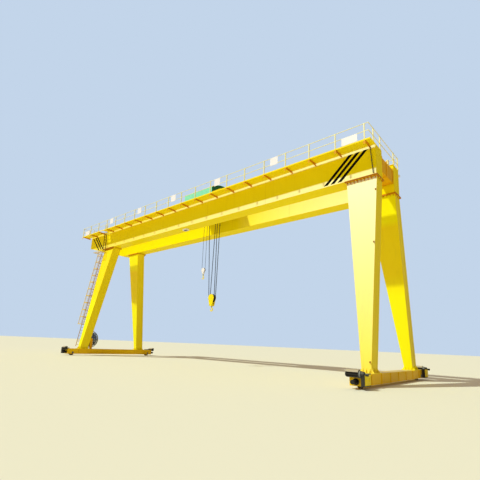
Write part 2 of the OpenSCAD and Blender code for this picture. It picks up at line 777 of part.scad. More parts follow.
// Side plates of the main block, with a cross head that holds the hook
module main_hook_block() {
    placed() color(yellow)
        translate([main_x, 0, main_z]) {
            for (side = [-1, 1])
                slab_xz(side * 140, 24) {
                    circle(r = 330);
                    polygon([[-290, -120], [290, -120], [150, -700], [-150, -700]]);
                }
            translate([-110, -128, -700]) cube([220, 256, 130]);
            for (y = [-171, 151]) pipe_y(y, y + 20, 0, 0, 60);
        }
}
module hook_shape(r, bar) {
    rotate([90, 0, 0])
        rotate([0, 0, -175]) rotate_extrude(angle = 265) translate([r, 0]) circle(r = bar, $fn = 24);
}
module main_hook() {
    hook_r = 120;
    hook_bar = 45;
    z = main_z - 700 - 300;
    placed() color(yellow) {
        translate([main_x, 0, z]) hook_shape(hook_r, hook_bar);
        translate([main_x, 0, z + 100]) cylinder(r = hook_bar + 8, h = 200 - seat);
    }
}
module aux_sheave() {
    placed() color(dark)
        translate([aux_x, 0, aux_z]) {
            rope_sheave(aux_fall_r, 60);
            rotate([90, 0, 0]) cylinder(r = 35, h = 80, center = true);
        }
}
module aux_hook_block() {
    placed() color(white)
        translate([aux_x, 0, aux_z]) {
            for (side = [-1, 1])
                slab_xz(side * 50, 20) {
                    circle(r = 210);
                    polygon([[-120, -100], [120, -100], [90, -330], [-90, -330]]);
                }
            translate([-80, -40, -330]) cube([160, 80, 80]);
        }
}
module aux_hook() {
    hook_r = 105;
    hook_bar = 36;
    z = aux_z - 330 - 370;
    placed() color(yellow) {
        translate([aux_x, 0, z]) hook_shape(hook_r, hook_bar);
        translate([aux_x, 0, z + 90]) cylinder(r = hook_bar + 6, h = 280 - seat);
    }
}

near_girder();
far_girder();
trolley_rails();
trolley_stops();
end_ties();
near_walkway();
walkway_brackets();
near_railing();
far_railing();
end_railings();
railing_boards();
near_right_leg();
far_right_leg();
near_left_leg();
far_left_leg();
right_sill_beam();
left_sill_beam();
travel_drives();
sill_buffers();
near_right_wheel();
far_right_wheel();
near_left_wheel();
far_left_wheel();
access_ladder();
cage_near_side();
cage_back();
cage_far_side();
rest_platform();
cable_reel();
reel_stand();
girder_lamp();
trolley_frame();
trolley_cover();
trolley_wheels();
main_drum();
aux_drum();
equaliser_sheave();
main_ropes();
aux_ropes();
main_hook_block();
main_sheaves();
main_hook();
aux_hook_block();
aux_sheave();
aux_hook();
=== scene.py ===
# Double-girder gantry crane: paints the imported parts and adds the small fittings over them
import math
import bmesh
import bpy
from mathutils import Matrix, Vector


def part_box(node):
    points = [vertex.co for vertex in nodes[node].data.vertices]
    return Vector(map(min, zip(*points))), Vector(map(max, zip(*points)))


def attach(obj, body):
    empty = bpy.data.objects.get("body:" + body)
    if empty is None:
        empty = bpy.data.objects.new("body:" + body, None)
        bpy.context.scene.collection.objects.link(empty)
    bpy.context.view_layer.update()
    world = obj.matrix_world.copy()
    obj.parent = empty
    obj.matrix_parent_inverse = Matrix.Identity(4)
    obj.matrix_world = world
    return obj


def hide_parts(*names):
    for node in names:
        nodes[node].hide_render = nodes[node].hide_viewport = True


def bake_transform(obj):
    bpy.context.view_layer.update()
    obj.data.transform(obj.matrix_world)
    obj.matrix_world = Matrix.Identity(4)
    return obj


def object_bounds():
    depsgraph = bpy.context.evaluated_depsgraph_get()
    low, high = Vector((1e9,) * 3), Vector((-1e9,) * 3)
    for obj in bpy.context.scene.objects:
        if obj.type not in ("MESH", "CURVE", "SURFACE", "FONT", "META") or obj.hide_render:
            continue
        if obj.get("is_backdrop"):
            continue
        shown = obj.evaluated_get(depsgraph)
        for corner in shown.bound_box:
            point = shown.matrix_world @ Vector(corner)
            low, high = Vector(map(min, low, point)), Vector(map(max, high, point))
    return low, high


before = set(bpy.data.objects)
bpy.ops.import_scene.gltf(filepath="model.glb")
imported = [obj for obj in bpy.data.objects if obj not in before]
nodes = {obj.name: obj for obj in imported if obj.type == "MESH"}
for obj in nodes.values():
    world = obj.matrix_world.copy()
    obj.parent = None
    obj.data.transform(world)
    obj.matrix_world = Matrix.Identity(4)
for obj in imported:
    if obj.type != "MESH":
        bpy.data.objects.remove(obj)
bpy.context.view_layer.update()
print("frame loaded with", len(nodes), "nodes")


def linear(hexColour):
    values = [int(hexColour[i:i + 2], 16) / 255 for i in (1, 3, 5)]
    return [v / 12.92 if v <= 0.04045 else ((v + 0.055) / 1.055) ** 2.4 for v in values] + [1.0]


def addNode(tree, kind, settings={}, inputs={}):
    made = tree.nodes.new(kind)
    for name, value in settings.items():
        setattr(made, name, value)
    for key, value in inputs.items():
        if isinstance(value, bpy.types.Node):
            value = value.outputs[0]
        if isinstance(value, bpy.types.NodeSocket):
            tree.links.new(value, made.inputs[key])
        else:
            made.inputs[key].default_value = value
    return made


def maths(tree, operation, *values):
    return addNode(tree, "ShaderNodeMath", {"operation": operation}, dict(enumerate(values)))


def product(tree, first, *others):
    for value in others:
        first = maths(tree, "MULTIPLY", first, value)
    return first


def remap(tree, value, fromLow, fromHigh, toHigh=1.0, toLow=0.0):
    return addNode(tree, "ShaderNodeMapRange", {}, {"Value": value, "From Min": fromLow, "From Max": fromHigh,
                                                    "To Min": toLow, "To Max": toHigh})


def tinted(tree, share, colour, hexColour):
    # the first colour where the share is 0, the other where it is 1
    return addNode(tree, "ShaderNodeMix", {"data_type": "RGBA"},
                   {"Factor": share, 6: colour, 7: linear(hexColour)}).outputs[2]


def axesOf(tree, vector):
    return list(addNode(tree, "ShaderNodeSeparateXYZ", {}, {0: vector}).outputs)


def noise(tree, place, scale, detail):
    return addNode(tree, "ShaderNodeTexNoise", {}, {"Vector": place, "Scale": scale, "Detail": detail})


def addBump(tree, shader, height, strength, depth):
    bump = addNode(tree, "ShaderNodeBump", {}, {"Height": height, "Strength": strength, "Distance": depth})
    tree.links.new(bump.outputs[0], shader.inputs["Normal"])


def newMaterial(name):
    material = bpy.data.materials.new(name)
    material.use_nodes = True
    return material, material.node_tree, material.node_tree.nodes["Principled BSDF"]


# Camera at the photograph's place: 1.8 m above the ground, looking up along the girders

cameraPlace = {"x": 23.645, "y": -21.641, "z": 1.791, "yaw": 42.033, "pitch": 10.978, "roll": 2.448,
               "lens": 26.79, "sensor": 36, "shiftX": 0.0175, "shiftY": 0.0721, "farthest": 3000}

cameraData = bpy.data.cameras.new("camera")
cameraData.sensor_width = cameraPlace["sensor"]
cameraData.lens = cameraPlace["lens"]
cameraData.shift_x = cameraPlace["shiftX"]
cameraData.shift_y = cameraPlace["shiftY"]
cameraData.clip_end = cameraPlace["farthest"]
camera = bpy.data.objects.new("camera", cameraData)
bpy.context.scene.collection.objects.link(camera)
yaw, pitch, roll = (math.radians(cameraPlace[k]) for k in ("yaw", "pitch", "roll"))
ahead = Vector((-math.sin(yaw) * math.cos(pitch), math.cos(yaw) * math.cos(pitch), math.sin(pitch)))
side = Vector((math.cos(yaw), math.sin(yaw), 0))
above = side.cross(ahead)
tiltedSide = side * math.cos(roll) + above * math.sin(roll)
tiltedAbove = above * math.cos(roll) - side * math.sin(roll)
camera.matrix_world = Matrix((
    (tiltedSide.x, tiltedAbove.x, -ahead.x, cameraPlace["x"]),
    (tiltedSide.y, tiltedAbove.y, -ahead.y, cameraPlace["y"]),
    (tiltedSide.z, tiltedAbove.z, -ahead.z, cameraPlace["z"]),
    (0, 0, 0, 1)))
bpy.context.scene.camera = camera
bpy.context.scene.view_settings.view_transform = "Standard"
print("camera placed")


# Light: one soft key from the camera's left and above, and a plain world

light = {"keyFrom": (-0.536, -1.0, 1.40), "keyFar": 20, "keyStrength": 2.95, "keyAngle": 1.2, "keyColour": "#f6ffe4",
         "worldColour": "#ffebd0", "worldStrength": 0.58, "shadeSide": 0.40, "shadeFrom": -0.1, "shadeTo": 0.9,
         "background": "#c3d5ea"}
ground = {"colour": "#e0ded8", "size": 900, "z": -0.002, "roughness": 0.9, "specular": 0.1}

keyData = bpy.data.lights.new("keyLight", "SUN")
keyData.energy = light["keyStrength"]
keyData.angle = math.radians(light["keyAngle"])
keyData.color = linear(light["keyColour"])[:3]
keyLight = bpy.data.objects.new("keyLight", keyData)
keyLight.rotation_euler = Vector(light["keyFrom"]).to_track_quat("Z", "Y").to_euler()
keyLight.location = Vector(light["keyFrom"]) * light["keyFar"]
bpy.context.scene.collection.objects.link(keyLight)

world = bpy.data.worlds.new("plainWorld")
bpy.context.scene.world = world
world.use_nodes = True
tree = world.node_tree
tree.nodes.clear()
# the far side of the sky is a little darker, so that the shaded ends read as shaded
direction = axesOf(tree, addNode(tree, "ShaderNodeTexCoord").outputs["Generated"])
sideOn = remap(tree, direction[0], light["shadeFrom"], light["shadeTo"], light["shadeSide"], 1.0)
lit = addNode(tree, "ShaderNodeMix", {"data_type": "RGBA", "blend_type": "MULTIPLY"},
              {"Factor": 1.0, 6: linear(light["worldColour"]), 7: sideOn})
rays = addNode(tree, "ShaderNodeLightPath")
soft = addNode(tree, "ShaderNodeBackground", {}, {"Color": lit.outputs[2], "Strength": light["worldStrength"]})
seen = addNode(tree, "ShaderNodeBackground", {}, {"Color": linear(light["background"]), "Strength": 1.0})
mixed = addNode(tree, "ShaderNodeMixShader", {}, {0: rays.outputs["Is Camera Ray"], 1: soft, 2: seen})
addNode(tree, "ShaderNodeOutputWorld", {}, {"Surface": mixed})

floorMaterial, floorTree, floorShader = newMaterial("paleConcreteFloor")
floorShader.inputs["Base Color"].default_value = linear(ground["colour"])
floorShader.inputs["Roughness"].default_value = ground["roughness"]
floorShader.inputs["Specular IOR Level"].default_value = ground["specular"]
floorMesh = bpy.data.meshes.new("floor")
half = ground["size"] / 2
floorMesh.from_pydata([(-half, -half, 0), (half, -half, 0), (half, half, 0), (-half, half, 0)], [], [(0, 1, 2, 3)])
floor = bpy.data.objects.new("floor", floorMesh)
floor.location.z = ground["z"]
floorMesh.materials.append(floorMaterial)
bpy.context.scene.collection.objects.link(floor)
floor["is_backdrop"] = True
print("light and floor set")


# Materials

# How the enamel weathers: the scale of each noise, and between which of its values each fault sets in
wear = {"cloudScale": 0.45, "clouds": (0.35, 0.7), "streakScale": (6.5, 6.5, 0.35), "streaks": (0.52, 0.8),
        "dustSlope": (0.6, 1.0), "dust": "#b9ad8c", "chipScale": 24.0, "chips": (0.735, 0.75), "primer": "#8a4b22",
        "smoother": 0.08, "rougher": 0.12, "ior": 1.5, "peelScale": 40.0, "peelStrength": 0.08, "peelDepth": 0.004}


def sprayedEnamel(name, colour, faded, grime, roughness, chalk=0.35, streaks=0.3, dust=0.25, chips=0.5, specular=0.4,
                  marks=()):
    # alkyd enamel sprayed on blasted plate: even colour, soft gloss, rain streaks and a little chalking
    material, tree, shader = newMaterial(name)
    place = addNode(tree, "ShaderNodeTexCoord").outputs["Object"]
    clouds = noise(tree, place, wear["cloudScale"], detail=3.0)
    chalked = remap(tree, clouds.outputs[0], *wear["clouds"], chalk)
    colour = tinted(tree, chalked, linear(colour), faded)
    # streaks run down: the noise is 0.15 m wide and some 3 m long
    stretched = addNode(tree, "ShaderNodeMapping", {}, {"Vector": place, "Scale": wear["streakScale"]})
    runs = noise(tree, stretched, 1.0, detail=4.0)
    streaked = remap(tree, runs.outputs[0], *wear["streaks"], streaks)
    normal = axesOf(tree, addNode(tree, "ShaderNodeNewGeometry").outputs["Normal"])
    wall = maths(tree, "ABSOLUTE", normal[2])
    wall = addNode(tree, "ShaderNodeMath", {"operation": "SUBTRACT", "use_clamp": True}, {0: 1.0, 1: wall})
    colour = tinted(tree, product(tree, streaked, wall), colour, grime)
    # dust lies on what faces up
    dusted = remap(tree, normal[2], *wear["dustSlope"], dust)
    colour = tinted(tree, dusted, colour, wear["dust"])
    # chips to the primer, 10 to 30 mm across, few and far between
    specks = noise(tree, place, wear["chipScale"], detail=2.0)
    chipped = remap(tree, specks.outputs[0], *wear["chips"], chips)
    colour = tinted(tree, chipped, colour, wear["primer"])
    for mark in marks:
        colour = mark(tree, place, normal, colour)
    tree.links.new(colour, shader.inputs["Base Color"])
    rough = remap(tree, clouds.outputs[0], 0.0, 1.0, roughness + wear["rougher"], roughness - wear["smoother"])
    tree.links.new(rough.outputs[0], shader.inputs["Roughness"])
    shader.inputs["IOR"].default_value = wear["ior"]
    shader.inputs["Specular IOR Level"].default_value = specular
    peel = noise(tree, place, wear["peelScale"], detail=1.0)
    addBump(tree, shader, peel.outputs[0], wear["peelStrength"], wear["peelDepth"])
    return material


# bare metal: a noise that varies how worn, how rough and how even the surface is
mottling = {"scale": 9.0, "low": 0.35, "high": 0.65, "smoother": 0.1, "rougher": 0.15, "strength": 0.2, "depth": 0.003}


def bareMetal(name, colour, worn, metallic, roughness):
    # rolled or forged steel: dull scale with brighter rubbed patches
    material, tree, shader = newMaterial(name)
    place = addNode(tree, "ShaderNodeTexCoord").outputs["Object"]
    mottle = noise(tree, place, mottling["scale"], detail=4.0)
    share = remap(tree, mottle.outputs[0], mottling["low"], mottling["high"])
    colour = tinted(tree, share, linear(colour), worn)
    tree.links.new(colour, shader.inputs["Base Color"])
    shader.inputs["Metallic"].default_value = metallic
    rough = remap(tree, mottle.outputs[0], 0.0, 1.0, roughness + mottling["rougher"], roughness - mottling["smoother"])
    tree.links.new(rough.outputs[0], shader.inputs["Roughness"])
    addBump(tree, shader, mottle.outputs[0], mottling["strength"], mottling["depth"])
    return material


# Black slanted warning stripes near both ends of the web: foot of each stripe, lean and width in metres
stripes = {"rightFeet": (13.74, 14.19, 14.66), "rightLean": 1.0435, "rightWidth": 0.27,
           "leftHeads": (-16.48, -15.93, -15.53), "leftLean": -0.95, "leftWidth": 0.22,
           "low": 11.87, "high": 13.48, "leftLow": 11.80, "facing": 0.9, "outer": 1.6, "black": "#0b0b0b"}


def warningStripes(tree, place, normal, colour):
    x, y, z = axesOf(tree, place)
    onWeb = maths(tree, "GREATER_THAN", maths(tree, "ABSOLUTE", normal[1]), stripes["facing"])
    outside = maths(tree, "GREATER_THAN", maths(tree, "ABSOLUTE", y), stripes["outer"])
    total = None
    for centres, lean, foot, low, width in (
            (stripes["rightFeet"], stripes["rightLean"], stripes["low"], stripes["low"], stripes["rightWidth"]),
            (stripes["leftHeads"], stripes["leftLean"], stripes["high"], stripes["leftLow"], stripes["leftWidth"])):
        rise = maths(tree, "SUBTRACT", z, foot)
        slid = maths(tree, "SUBTRACT", x, product(tree, rise, lean))
        above = maths(tree, "GREATER_THAN", z, low)
        below = maths(tree, "LESS_THAN", z, stripes["high"])
        for centre in centres:
            apart = maths(tree, "ABSOLUTE", maths(tree, "SUBTRACT", slid, centre))
            inside = product(tree, maths(tree, "LESS_THAN", apart, width / 2), above, below)
            total = inside if total is None else maths(tree, "MAXIMUM", total, inside)
    return tinted(tree, product(tree, total, onWeb, outside), colour, stripes["black"])


# Butt welds between the plates of the girders, one every 6 m, 12 mm wide
weldSeams = {"pitch": 6.0, "width": 0.012, "shade": "#dcb60c"}


def plateWelds(tree, place, normal, colour):
    along = maths(tree, "DIVIDE", axesOf(tree, place)[0], weldSeams["pitch"])
    apart = maths(tree, "ABSOLUTE", maths(tree, "SUBTRACT", maths(tree, "FRACT", along), 0.5))
    seam = maths(tree, "LESS_THAN", apart, weldSeams["width"] / weldSeams["pitch"] / 2)
    return tinted(tree, seam, colour, weldSeams["shade"])


# The normal's Y between which a face counts as sunny, for the leaning legs and for the upright webs
sunFacing = {"leg": (-0.5, -0.9), "web": (-0.8, -0.95)}

# Painted sunlight: the near right leg's sunny face is painted paler, most of all towards its head, for the sun's glare
# on it
paintedSunlight = {"low": -1.0, "high": 11.0, "share": 0.75, "chalk": "#fdfadf"}


def paintedSunlitTop(tree, place, normal, colour):
    height = axesOf(tree, place)[2]
    share = remap(tree, height, paintedSunlight["low"], paintedSunlight["high"], paintedSunlight["share"])
    sunny = remap(tree, normal[1], *sunFacing["leg"])
    return tinted(tree, product(tree, share, sunny), colour, paintedSunlight["chalk"])


# Painted sunlight: the legs' sunny faces are painted lemon where the sun lights them: at the foot, the far legs' also
# under the head, where no girder shades them, and the far web all along
lemon = {"colour": "#fdf802", "share": 0.85, "webShare": 0.3, "low": 5.2, "high": 6.6, "headLow": 9.6, "headHigh": 10.0}


def paintedSunlitLemon(tree, place, normal, colour):
    y, z = axesOf(tree, place)[1:]
    share = remap(tree, z, lemon["high"], lemon["low"], lemon["share"])
    head = remap(tree, z, lemon["headLow"], lemon["headHigh"], lemon["share"])
    far = maths(tree, "GREATER_THAN", y, 0.0)
    share = maths(tree, "MAXIMUM", share, product(tree, head, far))
    sunny = remap(tree, normal[1], *sunFacing["leg"])
    return tinted(tree, product(tree, share, sunny), colour, lemon["colour"])


# Painted sunlight: the girders' sunny webs are painted paler where the sun lights them: the near one below the
# walkway's shadow and along the slit that lets the sun in, the far one at its right up to where it lies in shade
paintedSunlitWebs = {"shadeLine": 12.15, "slitLine": 13.47, "soft": 0.05,
               "nearY": -1.5, "nearLow": -22.0, "nearHigh": 17.0, "nearShare": 0.62,
               "farY": 0.5, "farLow": 3.5, "farHigh": 15.0, "farShare": 0.62, "farEnd": 14.6}


def paintedSunlitWeb(tree, place, normal, colour):
    x, y, z = axesOf(tree, place)
    sunny = remap(tree, normal[1], *sunFacing["web"])
    near = maths(tree, "LESS_THAN", y, paintedSunlitWebs["nearY"])
    far = maths(tree, "GREATER_THAN", y, paintedSunlitWebs["farY"])
    line, soft = paintedSunlitWebs["shadeLine"], paintedSunlitWebs["soft"]
    low = remap(tree, z, line + soft, line - soft)
    line = paintedSunlitWebs["slitLine"]
    high = remap(tree, z, line - soft, line)
    bright = maths(tree, "MAXIMUM", low, high)
    nearShare = remap(tree, x, paintedSunlitWebs["nearLow"], paintedSunlitWebs["nearHigh"], paintedSunlitWebs["nearShare"])
    farShare = remap(tree, x, paintedSunlitWebs["farLow"], paintedSunlitWebs["farHigh"], paintedSunlitWebs["farShare"])
    beforeEnd = maths(tree, "LESS_THAN", x, paintedSunlitWebs["farEnd"])
    colour = tinted(tree, product(tree, far, sunny, lemon["webShare"]), colour, lemon["colour"])
    share = maths(tree, "ADD", product(tree, near, nearShare, bright), product(tree, far, farShare, beforeEnd))
    return tinted(tree, product(tree, share, sunny), colour, paintedSunlight["chalk"])


# Painted shade: the ribs under the head plates lie in the plates' shadow and are painted amber-brown for it
ribShade = {"low": 11.25, "high": 11.679, "plateTop": 11.735, "girderLow": 11.777, "legSide": 2.033,
           "legInside": 1.117, "legEnd": 15.241, "middle": 1.67, "lean": 0.1674, "colour": "#cc8610"}


def paintedShadeRibs(tree, place, normal, colour):
    x, y, z = axesOf(tree, place)
    above = maths(tree, "GREATER_THAN", z, ribShade["low"])
    below = maths(tree, "LESS_THAN", z, ribShade["plateTop"])
    fromTop = maths(tree, "SUBTRACT", z, ribShade["high"])
    leaning = product(tree, fromTop, ribShade["lean"])
    fromMiddle = maths(tree, "ADD", maths(tree, "ABSOLUTE", y), leaning)
    outY = maths(tree, "GREATER_THAN", fromMiddle, ribShade["legSide"])
    inY = maths(tree, "LESS_THAN", fromMiddle, ribShade["legInside"])
    outX = maths(tree, "ABSOLUTE", maths(tree, "SUBTRACT", x, ribShade["middle"]))
    outX = maths(tree, "GREATER_THAN", outX, ribShade["legEnd"])
    outside = maths(tree, "MAXIMUM", outX, maths(tree, "MAXIMUM", outY, inY))
    return tinted(tree, product(tree, above, below, outside), colour, ribShade["colour"])


def paintedShadePlates(tree, place, normal, colour):
    # painted shade: the girders' own head plates hang under them and are painted amber-brown for their shade
    height = axesOf(tree, place)[2]
    share = maths(tree, "LESS_THAN", height, ribShade["girderLow"])
    return tinted(tree, share, colour, ribShade["colour"])


# Painted shade: the upright ladder is painted dark for the shade it stands in; above the deck it was painted with the
# railing
ladderShadeAndCreamTones = ((11.60, "#5f4010"), (13.62, "#efe6a8"))


def ladderShadeAndCream(tree, place, normal, colour):
    height = axesOf(tree, place)[2]
    for start, tone in ladderShadeAndCreamTones:
        share = maths(tree, "GREATER_THAN", height, start)
        colour = tinted(tree, share, colour, tone)
    return colour


yellow = {"chalk": 0.30, "streaks": 0.18, "chips": 0.35, "specular": 0.15}
yellowTones = ("#fae004", "#fce724", "#b8940c", 0.45)
yellowEnamel = sprayedEnamel("yellowEnamel", *yellowTones, **yellow)
# the web's marks paint sunlight paler and lemon where the sun lights the webs, and shade amber under the head plates
yellowWebEnamel = sprayedEnamel("yellowWebEnamel", *yellowTones, chalk=0.30, streaks=0.10, chips=0.35, specular=0.03,
                                marks=(paintedSunlitWeb, plateWelds, warningStripes, paintedShadePlates))
# the sills stand low and have taken up the yard's soil
soiledEnamel = sprayedEnamel("soiledEnamel", "#f4c606", "#f5cd22", "#9a6c10", 0.45, dust=0.75, **yellow)
# painted sunlight lemon on the sunny faces, and painted shade amber under the head plates
yellowLegEnamel = sprayedEnamel("yellowLegEnamel", *yellowTones, marks=(paintedSunlitLemon, paintedShadeRibs), **yellow)
# painted sunlight paler on the near right leg's sunny face, and painted shade amber under its head plate
paintedLightLegEnamel = sprayedEnamel("paintedLightLegEnamel", *yellowTones, marks=(paintedSunlitTop, paintedShadeRibs), **yellow)
# the ladder has kept an older, browner coat; its cage has bleached
brownEnamel = sprayedEnamel("brownEnamel", "#b4861c", "#c0962e", "#6a4c12", 0.5, marks=(ladderShadeAndCream,))
bleachedEnamel = sprayedEnamel("bleachedEnamel", "#e2c048", "#ead070", "#a08a3a", 0.45, streaks=0.15)
# painted shade: amber stands for the shade under the walkway, on its brackets and on the cleats
amberShadeEnamel = sprayedEnamel("amberShadeEnamel", "#dd9a14", "#e2aa2c", "#7c5310", 0.5, chalk=0.15, dust=0.1, specular=0.15)
# painted shade: the ties between the girders are painted orange for the warm shade between the girders; the reel stand
# has the same orange
orangeAndShadeEnamel = sprayedEnamel("orangeAndShadeEnamel", "#edb108", "#efb818", "#8f6010", 0.5, chalk=0.15, dust=0.1, specular=0.15)
creamEnamel = sprayedEnamel("creamEnamel", "#efe6a8", "#f4efcf", "#a39a6a", 0.4, streaks=0.15, dust=0.1)
mintEnamel = sprayedEnamel("mintEnamel", "#84e3cc", "#a6eedd", "#4a9c84", 0.38, streaks=0.25, dust=0.2, chips=0.2)
# painted shade: the dark green of the trolley cover's shaded end panel
paintedShadeGreenEnamel = sprayedEnamel("paintedShadeGreenEnamel", "#0f6a46", "#1d7d57", "#0a3f2a", 0.4)
whiteEnamel = sprayedEnamel("whiteEnamel", "#f1ebf8", "#f5f0fa", "#a9a69a", 0.35, streaks=0.12, dust=0.1, chips=0.1)
blackEnamel = sprayedEnamel("blackEnamel", "#242423", "#343432", "#4d463a", 0.45, chips=0.3)
# galvanised sheet under yard dust
dustySheet = sprayedEnamel("dustySheet", "#ab9f8f", "#b9ae9f", "#7d7263", 0.65, chips=0.1)
greyEnamel = sprayedEnamel("greyEnamel", "#6b7073", "#83888b", "#3c3a36", 0.45)
# oiled packing that rust has coloured
rustedPacking = sprayedEnamel("rustedPacking", "#a06410", "#b07420", "#5f3c0c", 0.8)
rolledSteel = bareMetal("rolledSteel", "#5d4a3c", "#8e8880", 0.75, 0.45)
zincSteel = bareMetal("zincSteel", "#8b8d8e", "#a9abab", 0.8, 0.45)
darkBolt = bareMetal("darkBolt", "#3a2a1c", "#5c4630", 0.5, 0.55)
buttonRubber = bareMetal("buttonRubber", "#151515", "#232323", 0.0, 0.75)


def ropeSteel(name, rope):
    # six-strand wire rope: the strands wind round it, drawn a little coarser than the real lay
    material, tree, shader = newMaterial(name)
    place = addNode(tree, "ShaderNodeTexCoord").outputs["Object"]
    lay = addNode(tree, "ShaderNodeTexWave", {"wave_type": "BANDS", "bands_direction": "DIAGONAL"},
                  {"Vector": place, "Scale": rope["scale"], "Distortion": 0.0})
    colour = tinted(tree, lay.outputs["Fac"], linear(rope["groove"]), rope["strand"])
    tree.links.new(colour, shader.inputs["Base Color"])
    shader.inputs["Metallic"].default_value = 0.0
    shader.inputs["Roughness"].default_value = rope["roughness"]
    addBump(tree, shader, lay.outputs["Fac"], rope["strength"], rope["depth"])
    return material


greasedRope = ropeSteel("greasedRope", {"scale": 9.0, "groove": "#12151a", "strand": "#343a44", "roughness": 0.7,
                                        "strength": 0.5, "depth": 0.003})
print("materials mixed")


# Mesh helpers: everything small is gathered into one mesh for each kind of fitting

def addBlock(mesh, low, high, at=(0, 0, 0)):
    corners = [mesh.verts.new((x + at[0], y + at[1], z + at[2])) for x in (low[0], high[0])
               for y in (low[1], high[1]) for z in (low[2], high[2])]
    for face in ((0, 1, 3, 2), (4, 6, 7, 5), (0, 4, 5, 1), (2, 3, 7, 6), (0, 2, 6, 4), (1, 5, 7, 3)):
        mesh.faces.new([corners[i] for i in face])


def addPrism(mesh, start, end, radius, sides, endRadius=None, turn=0.0):
    start, end = Vector(start), Vector(end)
    toAxis = (end - start).to_track_quat("Z", "Y")
    rings = []
    for place, size in ((start, radius), (end, radius if endRadius is None else endRadius)):
        rings.append([mesh.verts.new(place + toAxis @ Vector((size * math.cos(turn + 2 * math.pi * i / sides),
                                                              size * math.sin(turn + 2 * math.pi * i / sides), 0)))
                      for i in range(sides)])
    for i in range(sides):
        mesh.faces.new((rings[0][i], rings[0][(i + 1) % sides], rings[1][(i + 1) % sides], rings[1][i]))
    mesh.faces.new(list(reversed(rings[0])))
    mesh.faces.new(rings[1])


# shares of a bolt's size, which is the width over the corners of its head
boltShape = {"washer": 0.08, "washerRadius": 0.62, "head": 0.6, "thread": 0.8, "threadRadius": 0.24}


def addBolt(mesh, place, axis, size):
    # washer, hexagon head and the thread's end
    place, axis = Vector(place), Vector(axis).normalized()
    washerTop, headTop = place + axis * size * boltShape["washer"], place + axis * size * boltShape["head"]
    addPrism(mesh, place, washerTop, size * boltShape["washerRadius"], 12)
    addPrism(mesh, washerTop, headTop, size / 2, 6)
    addPrism(mesh, headTop, place + axis * size * boltShape["thread"], size * boltShape["threadRadius"], 8)


def addRing(mesh, centre, axis, ringRadius, barRadius, around, across):
    centre, toAxis = Vector(centre), Vector(axis).to_track_quat("Z", "Y")
    rings = []
    for i in range(around):
        angle = 2 * math.pi * i / around
        rings.append([mesh.verts.new(centre + toAxis @ Vector((
            (ringRadius + barRadius * math.cos(b)) * math.cos(angle),
            (ringRadius + barRadius * math.cos(b)) * math.sin(angle),
            barRadius * math.sin(b)))) for b in (2 * math.pi * k / across for k in range(across))])
    for first, second in zip(rings, rings[1:] + rings[:1]):
        for k in range(across):
            mesh.faces.new((first[k], second[k], second[(k + 1) % across], first[(k + 1) % across]))


def makePiece(name, mesh, material, body="structure", smooth=False):
    bmesh.ops.recalc_face_normals(mesh, faces=mesh.faces)
    data = bpy.data.meshes.new(name)
    mesh.to_mesh(data)
    mesh.free()
    data.materials.append(material)
    if smooth:
        data.shade_smooth()
    piece = bpy.data.objects.new(name, data)
    bpy.context.scene.collection.objects.link(piece)
    if body is not None:
        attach(piece, body)
    return piece


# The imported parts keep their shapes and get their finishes

finishes = {}
for material, names in (
        (yellowWebEnamel, ("near_girder", "far_girder")),
        (rolledSteel, ("trolley_rails", "near_right_wheel", "far_right_wheel", "near_left_wheel", "far_left_wheel",
                       "trolley_wheels")),
        (creamEnamel, ("trolley_stops", "near_railing", "far_railing", "end_railings")),
        (paintedLightLegEnamel, ("near_right_leg",)),
        (yellowLegEnamel, ("far_right_leg", "near_left_leg", "far_left_leg")),
        (brownEnamel, ("access_ladder",)),
        (bleachedEnamel, ("cage_near_side", "cage_back", "cage_far_side")),
        (amberShadeEnamel, ("walkway_brackets",)),
        (orangeAndShadeEnamel, ("end_ties", "reel_stand")),
        (whiteEnamel, ("railing_boards", "girder_lamp", "aux_hook_block")),
        (soiledEnamel, ("right_sill_beam", "left_sill_beam")),
        (blackEnamel, ("travel_drives", "cable_reel")),
        (buttonRubber, ("sill_buffers",)),
        (mintEnamel, ("trolley_cover",)),
        (greyEnamel, ("main_drum", "aux_drum", "equaliser_sheave")),
        (greasedRope, ("main_ropes", "aux_ropes", "main_sheaves", "aux_sheave"))):
    finishes.update(dict.fromkeys(names, material))
for name, part in nodes.items():
    material = finishes.get(name, yellowEnamel)
    if not part.material_slots:
        part.data.materials.append(material)
    for slotOfPart in part.material_slots:
        slotOfPart.material = material
print("packed parts painted")

rightSill, leftSill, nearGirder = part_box("right_sill_beam"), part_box("left_sill_beam"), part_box("near_girder")
sillX = {1: (rightSill[0].x + rightSill[1].x) / 2, -1: (leftSill[0].x + leftSill[1].x) / 2}
midX = (sillX[1] + sillX[-1]) / 2
girderY = -(nearGirder[0].y + nearGirder[1].y) / 2
legs = {"near_right_leg": (1, -1), "far_right_leg": (1, 1), "near_left_leg": (-1, -1), "far_left_leg": (-1, 1)}
legShape = {"shift": 0.235 - 0.9, "headZ": 11.68, "high": 10.99, "spread": 1.84, "halfWide": 0.45, "endX": 15.235}
posts = {"first": 18.887, "pitch": 1.782, "count": 20}


def headOf(towardX):
    # X of the middle of a leg's head
    return sillX[towardX] + towardX * legShape["shift"]


def nearLegFace(z):
    # Y of the near legs' sunny faces, which lean outwards on the way down
    return -(girderY + legShape["halfWide"]) - (legShape["headZ"] - z) * legShape["spread"] / legShape["high"]


def postAt(i):
    return midX - posts["first"] + i * posts["pitch"]


# Bolts of the flanges between legs and girders, and of the feet on the sills: M30, heads 46 mm across

legBolts = {"size": 0.053, "headX": 0.935, "headIn": 0.50, "headOut": 0.53, "headPlate": 0.05, "ribPitch": 0.20875,
            "ribFrom": -0.84, "ribs": 8, "endStep": 0.1, "footX": 0.29, "footY": 0.52, "footStep": 0.19,
            "footAt": 3.39, "footPlate": 0.03, "footHalf": 0.0875}

